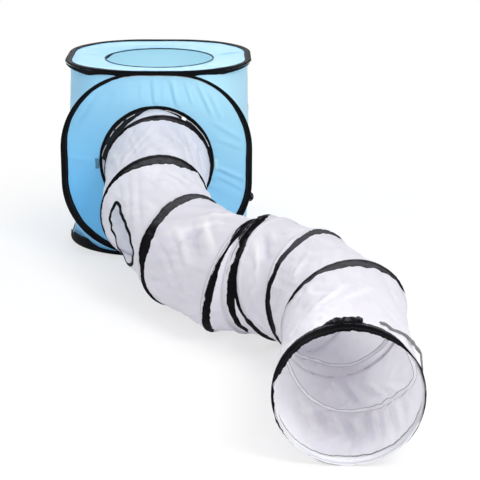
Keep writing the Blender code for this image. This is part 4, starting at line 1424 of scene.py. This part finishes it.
stops = smooth_path(np.array(BUNCH) + (KNOT_AT, 0, 0, 0, 0), 60)
rows = []
for a in circle(20):
    row = []
    for across, lift, ahead, high, deep in stops:
        crumple = 1 + 0.10 * math.sin(across * 900 + 2 * a)
        crumple += 0.22 * noise.noise(Vector((across * 260, 3 * math.cos(a), 3 * math.sin(a))))
        row.append(over_rim(across, lift + high * crumple * math.sin(a),
                            ahead + deep * crumple * math.cos(a))[0])
    rows.append(row)
knot = grid_piece("knot_bar", np.array(rows), soft_tape, round_rows=True,
                  marks={"along": stops[:, 0], "across": np.linspace(0, 1, 20)[:, None]})
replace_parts(knot, "tie_knot")
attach(knot, "hoop_10")
for label, place, lean, size in (("first", -0.013, 0.9, 1.0), ("second", -0.002, -0.7, 0.95),
                                 ("third", 0.010, 0.6, 1.0)):
    route = [(KNOT_AT + place + lean * 0.005 * math.cos(a), 0.0030 + 0.0052 * size * math.sin(a),
              0.0092 * math.cos(a)) for a in np.linspace(-0.4, 3.54, 9)]
    path, outs = np.moveaxis(np.array([over_rim(*stop) for stop in smooth_path(route, 81)]), 1, 0)
    ways = unit(np.cross(np.gradient(path, axis=0), outs))
    turn = strip("knot_turn_" + label, path, ways, 0.0062, 0.0016, black_tape, seed=9)
    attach(turn, "hoop_10")
print("knot tied")

# %% Tail of the tie
# Part of the mouth length, turn, and height off the cloth in millimetres.
TAIL = ((0.900, 66, 1.0), (0.895, 59, 1.0), (0.885, 51.5, 1.2), (0.870, 43.5, 1.5), (0.830, 34, 2.5),
        (0.775, 24.5, 5.0), (0.71, 15.5, 8.0), (0.69, 10.5, 10.0), (0.72, 7.5, 10.0), (0.82, 5, 8.0))
parts, degrees, out = smooth_path(TAIL, 90).T
piece = cloth_strip("tie_tail_ribbon", 9, parts, degrees, 0.0100, 0.0034, grey_ribbon, out / 1000,
                    evened=12)
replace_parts(piece, "tie_tail")
print("tail laid")

# %% [markdown]
# ## Ties on the bend and tabs on the cube
#
# Short black strips hold the two close hoops of the bend together at the top, two tabs beside
# the front opening take the tunnel's ties, and a webbing loop on the frame's edge keeps the
# folded cube shut.

# %% Bend tie, cube tabs and storage loop
def box_of(node):
    """Low corner, middle and size of a solid's box."""
    low, high = (np.array(corner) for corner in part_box(node))
    return low, (low + high) / 2, high - low


cloth_patch("bend_tie_wrap", 5, 84, 119, (0.5, 0.25, 0.2, 0.25, 0.5), (1.0,), 0.0048, black_tape)
low, middle, size = box_of("section_tie")
span = np.linspace(0, 0.6, 24)
path = np.stack([low[0] + size[0] * span, low[1] + size[1] * span,
                 low[2] - 0.0020 + 0.0010 * np.sin(span * math.pi)], 1)
bend_tie = strip("bend_tie", path, unit(np.cross(path[-1] - path[0], Z)), 0.010, 0.0014, black_tape,
                 seed=2.0)
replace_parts(bend_tie, "section_tie")
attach(bend_tie, "bend")
for side, finish in (("left", tab_blue), ("right", tab_pale)):
    low, middle, size = box_of("tie_tab_" + side)
    span = np.linspace(0, 1, 20)
    path = np.stack([middle[0] + 0.0004 * np.sin(span * 5),
                     low[1] + 0.0004 - 0.0006 * np.sin(span * math.pi), low[2] + size[2] * span], 1)
    tab = strip("tab_" + side, path, X, 0.0086, 0.0012, finish, seed=5.0)
    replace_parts(tab, "tie_tab_" + side)
    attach(tab, "front")
low, middle, size = box_of("storage_loop")
half_turn = np.linspace(-math.pi / 2, math.pi / 2, 26)
for label, scale, thick in (("outer", 0.86, 0.0028), ("inner", 0.40, 0.0060)):
    path = np.stack([low[0] + scale * size[0] * np.cos(half_turn), np.full(26, middle[1]),
                     middle[2] + scale * size[2] / 2 * np.sin(half_turn)], 1)
    loop = strip("loop_" + label, path, Y, 0.0056, thick, black_tape, seed=7.0)
    if label == "outer":
        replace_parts(loop, "storage_loop")
    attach(loop, "front")
print("ties and tabs done")

# %% [markdown]
# ## Camera, light and floor
#
# The camera stands where the photograph was taken from. Four soft lamps light the toy, and a
# white world and floor stand round it that the camera sees as one even white.

# %% Camera and lamps
FOCAL_PIXELS = 1378.6
PHOTO_WIDTH = 480.0
YAW, PITCH, ROLL_ANGLE = 0.017, -0.308, 0.005


def link(name, data, place):
    """A new object in the scene at a place."""
    made = bpy.data.objects.new(name, data)
    bpy.context.scene.collection.objects.link(made)
    made.location = place
    made.rotation_mode = "QUATERNION"
    return made


def photo_camera():
    """The camera at the photograph's place, looking a little down at the toy."""
    lens = bpy.data.cameras.new("photo_camera")
    lens.sensor_width, lens.lens = 36.0, 36.0 * FOCAL_PIXELS / PHOTO_WIDTH
    lens.clip_start, lens.clip_end = 0.05, 60.0
    camera = link("photo_camera", lens, (0.1436, -3.375, 1.0436))
    gaze = Vector((math.sin(YAW) * math.cos(PITCH), math.cos(YAW) * math.cos(PITCH), math.sin(PITCH)))
    camera.rotation_quaternion = gaze.to_track_quat("-Z", "Y") @ Quaternion((0, 0, 1), ROLL_ANGLE)
    bpy.context.scene.camera = camera


def lamp(name, place, target, size, power):
    """A round soft lamp at a place, turned to its target."""
    light = bpy.data.lights.new(name, "AREA")
    light.shape, light.size, light.energy = "DISK", size, power
    made = link(name, light, place)
    made.rotation_quaternion = (Vector(target) - Vector(place)).to_track_quat("-Z", "Y")


photo_camera()
lamp("key", (1.5, -2.4, 2.6), (0.1, -0.5, 0.15), 1.4, 51)
lamp("front", (0.5, -4.4, 1.9), (0.1, -0.5, 0.15), 2.4, 38)
lamp("above", (0.2, -0.3, 3.0), (0.1, -0.4, 0.2), 2.0, 23)
lamp("behind", (-0.4, 2.7, 0.8), (0.0, 0.0, 0.3), 1.6, 32)
bpy.context.scene.view_settings.view_transform = "Standard"
print("lens", round(bpy.context.scene.camera.data.lens, 1), "mm")

# %% World and floor
WHITE = (1.0, 1.0, 1.0)
LAMP_LEVEL = 0.50


def white_room():
    """A white world for the camera and for gloss, softer as a lamp."""
    room = Finish("studio", bpy.data.worlds)
    bpy.context.scene.world = room.owner
    level = room.seen_directly() * (1.0 - LAMP_LEVEL) + LAMP_LEVEL
    sky = room.node("ShaderNodeBackground", None, {"Color": WHITE, "Strength": level})
    room.node("ShaderNodeOutputWorld", None, {"Surface": sky})


def pale_floor():
    """A white floor whose own light takes over away from the toy, so its far edge is not seen."""
    mesh = bpy.data.meshes.new("floor")
    mesh.from_pydata([(-6, -6, 0), (6, -6, 0), (6, 6, 0), (-6, 6, 0)], [], [(0, 1, 2, 3)])
    floor = bpy.data.objects.new("floor", mesh)
    bpy.context.scene.collection.objects.link(floor)
    finish = Finish("pale_floor")
    across, back = finish.axis("X") - 0.12, finish.axis("Y") + 0.55
    away = (across * across * 1.6 + back * back) ** 0.5
    white = away.ramp(0.75, 1.5, 0.60, 1.0) * finish.seen_directly()
    matt = finish.node("ShaderNodeBsdfPrincipled", None, {"Base Color": (0.88, 0.88, 0.89), "Roughness": 0.9})
    glow = finish.node("ShaderNodeEmission", None, {"Color": WHITE, "Strength": 1.0})
    both = finish.node("ShaderNodeMixShader", None, {0: white, 1: matt, 2: glow})
    finish.node("ShaderNodeOutputMaterial", None, {"Surface": both})
    mesh.materials.append(finish.owner)


white_room()
pale_floor()
print("world", bpy.context.scene.world.name)
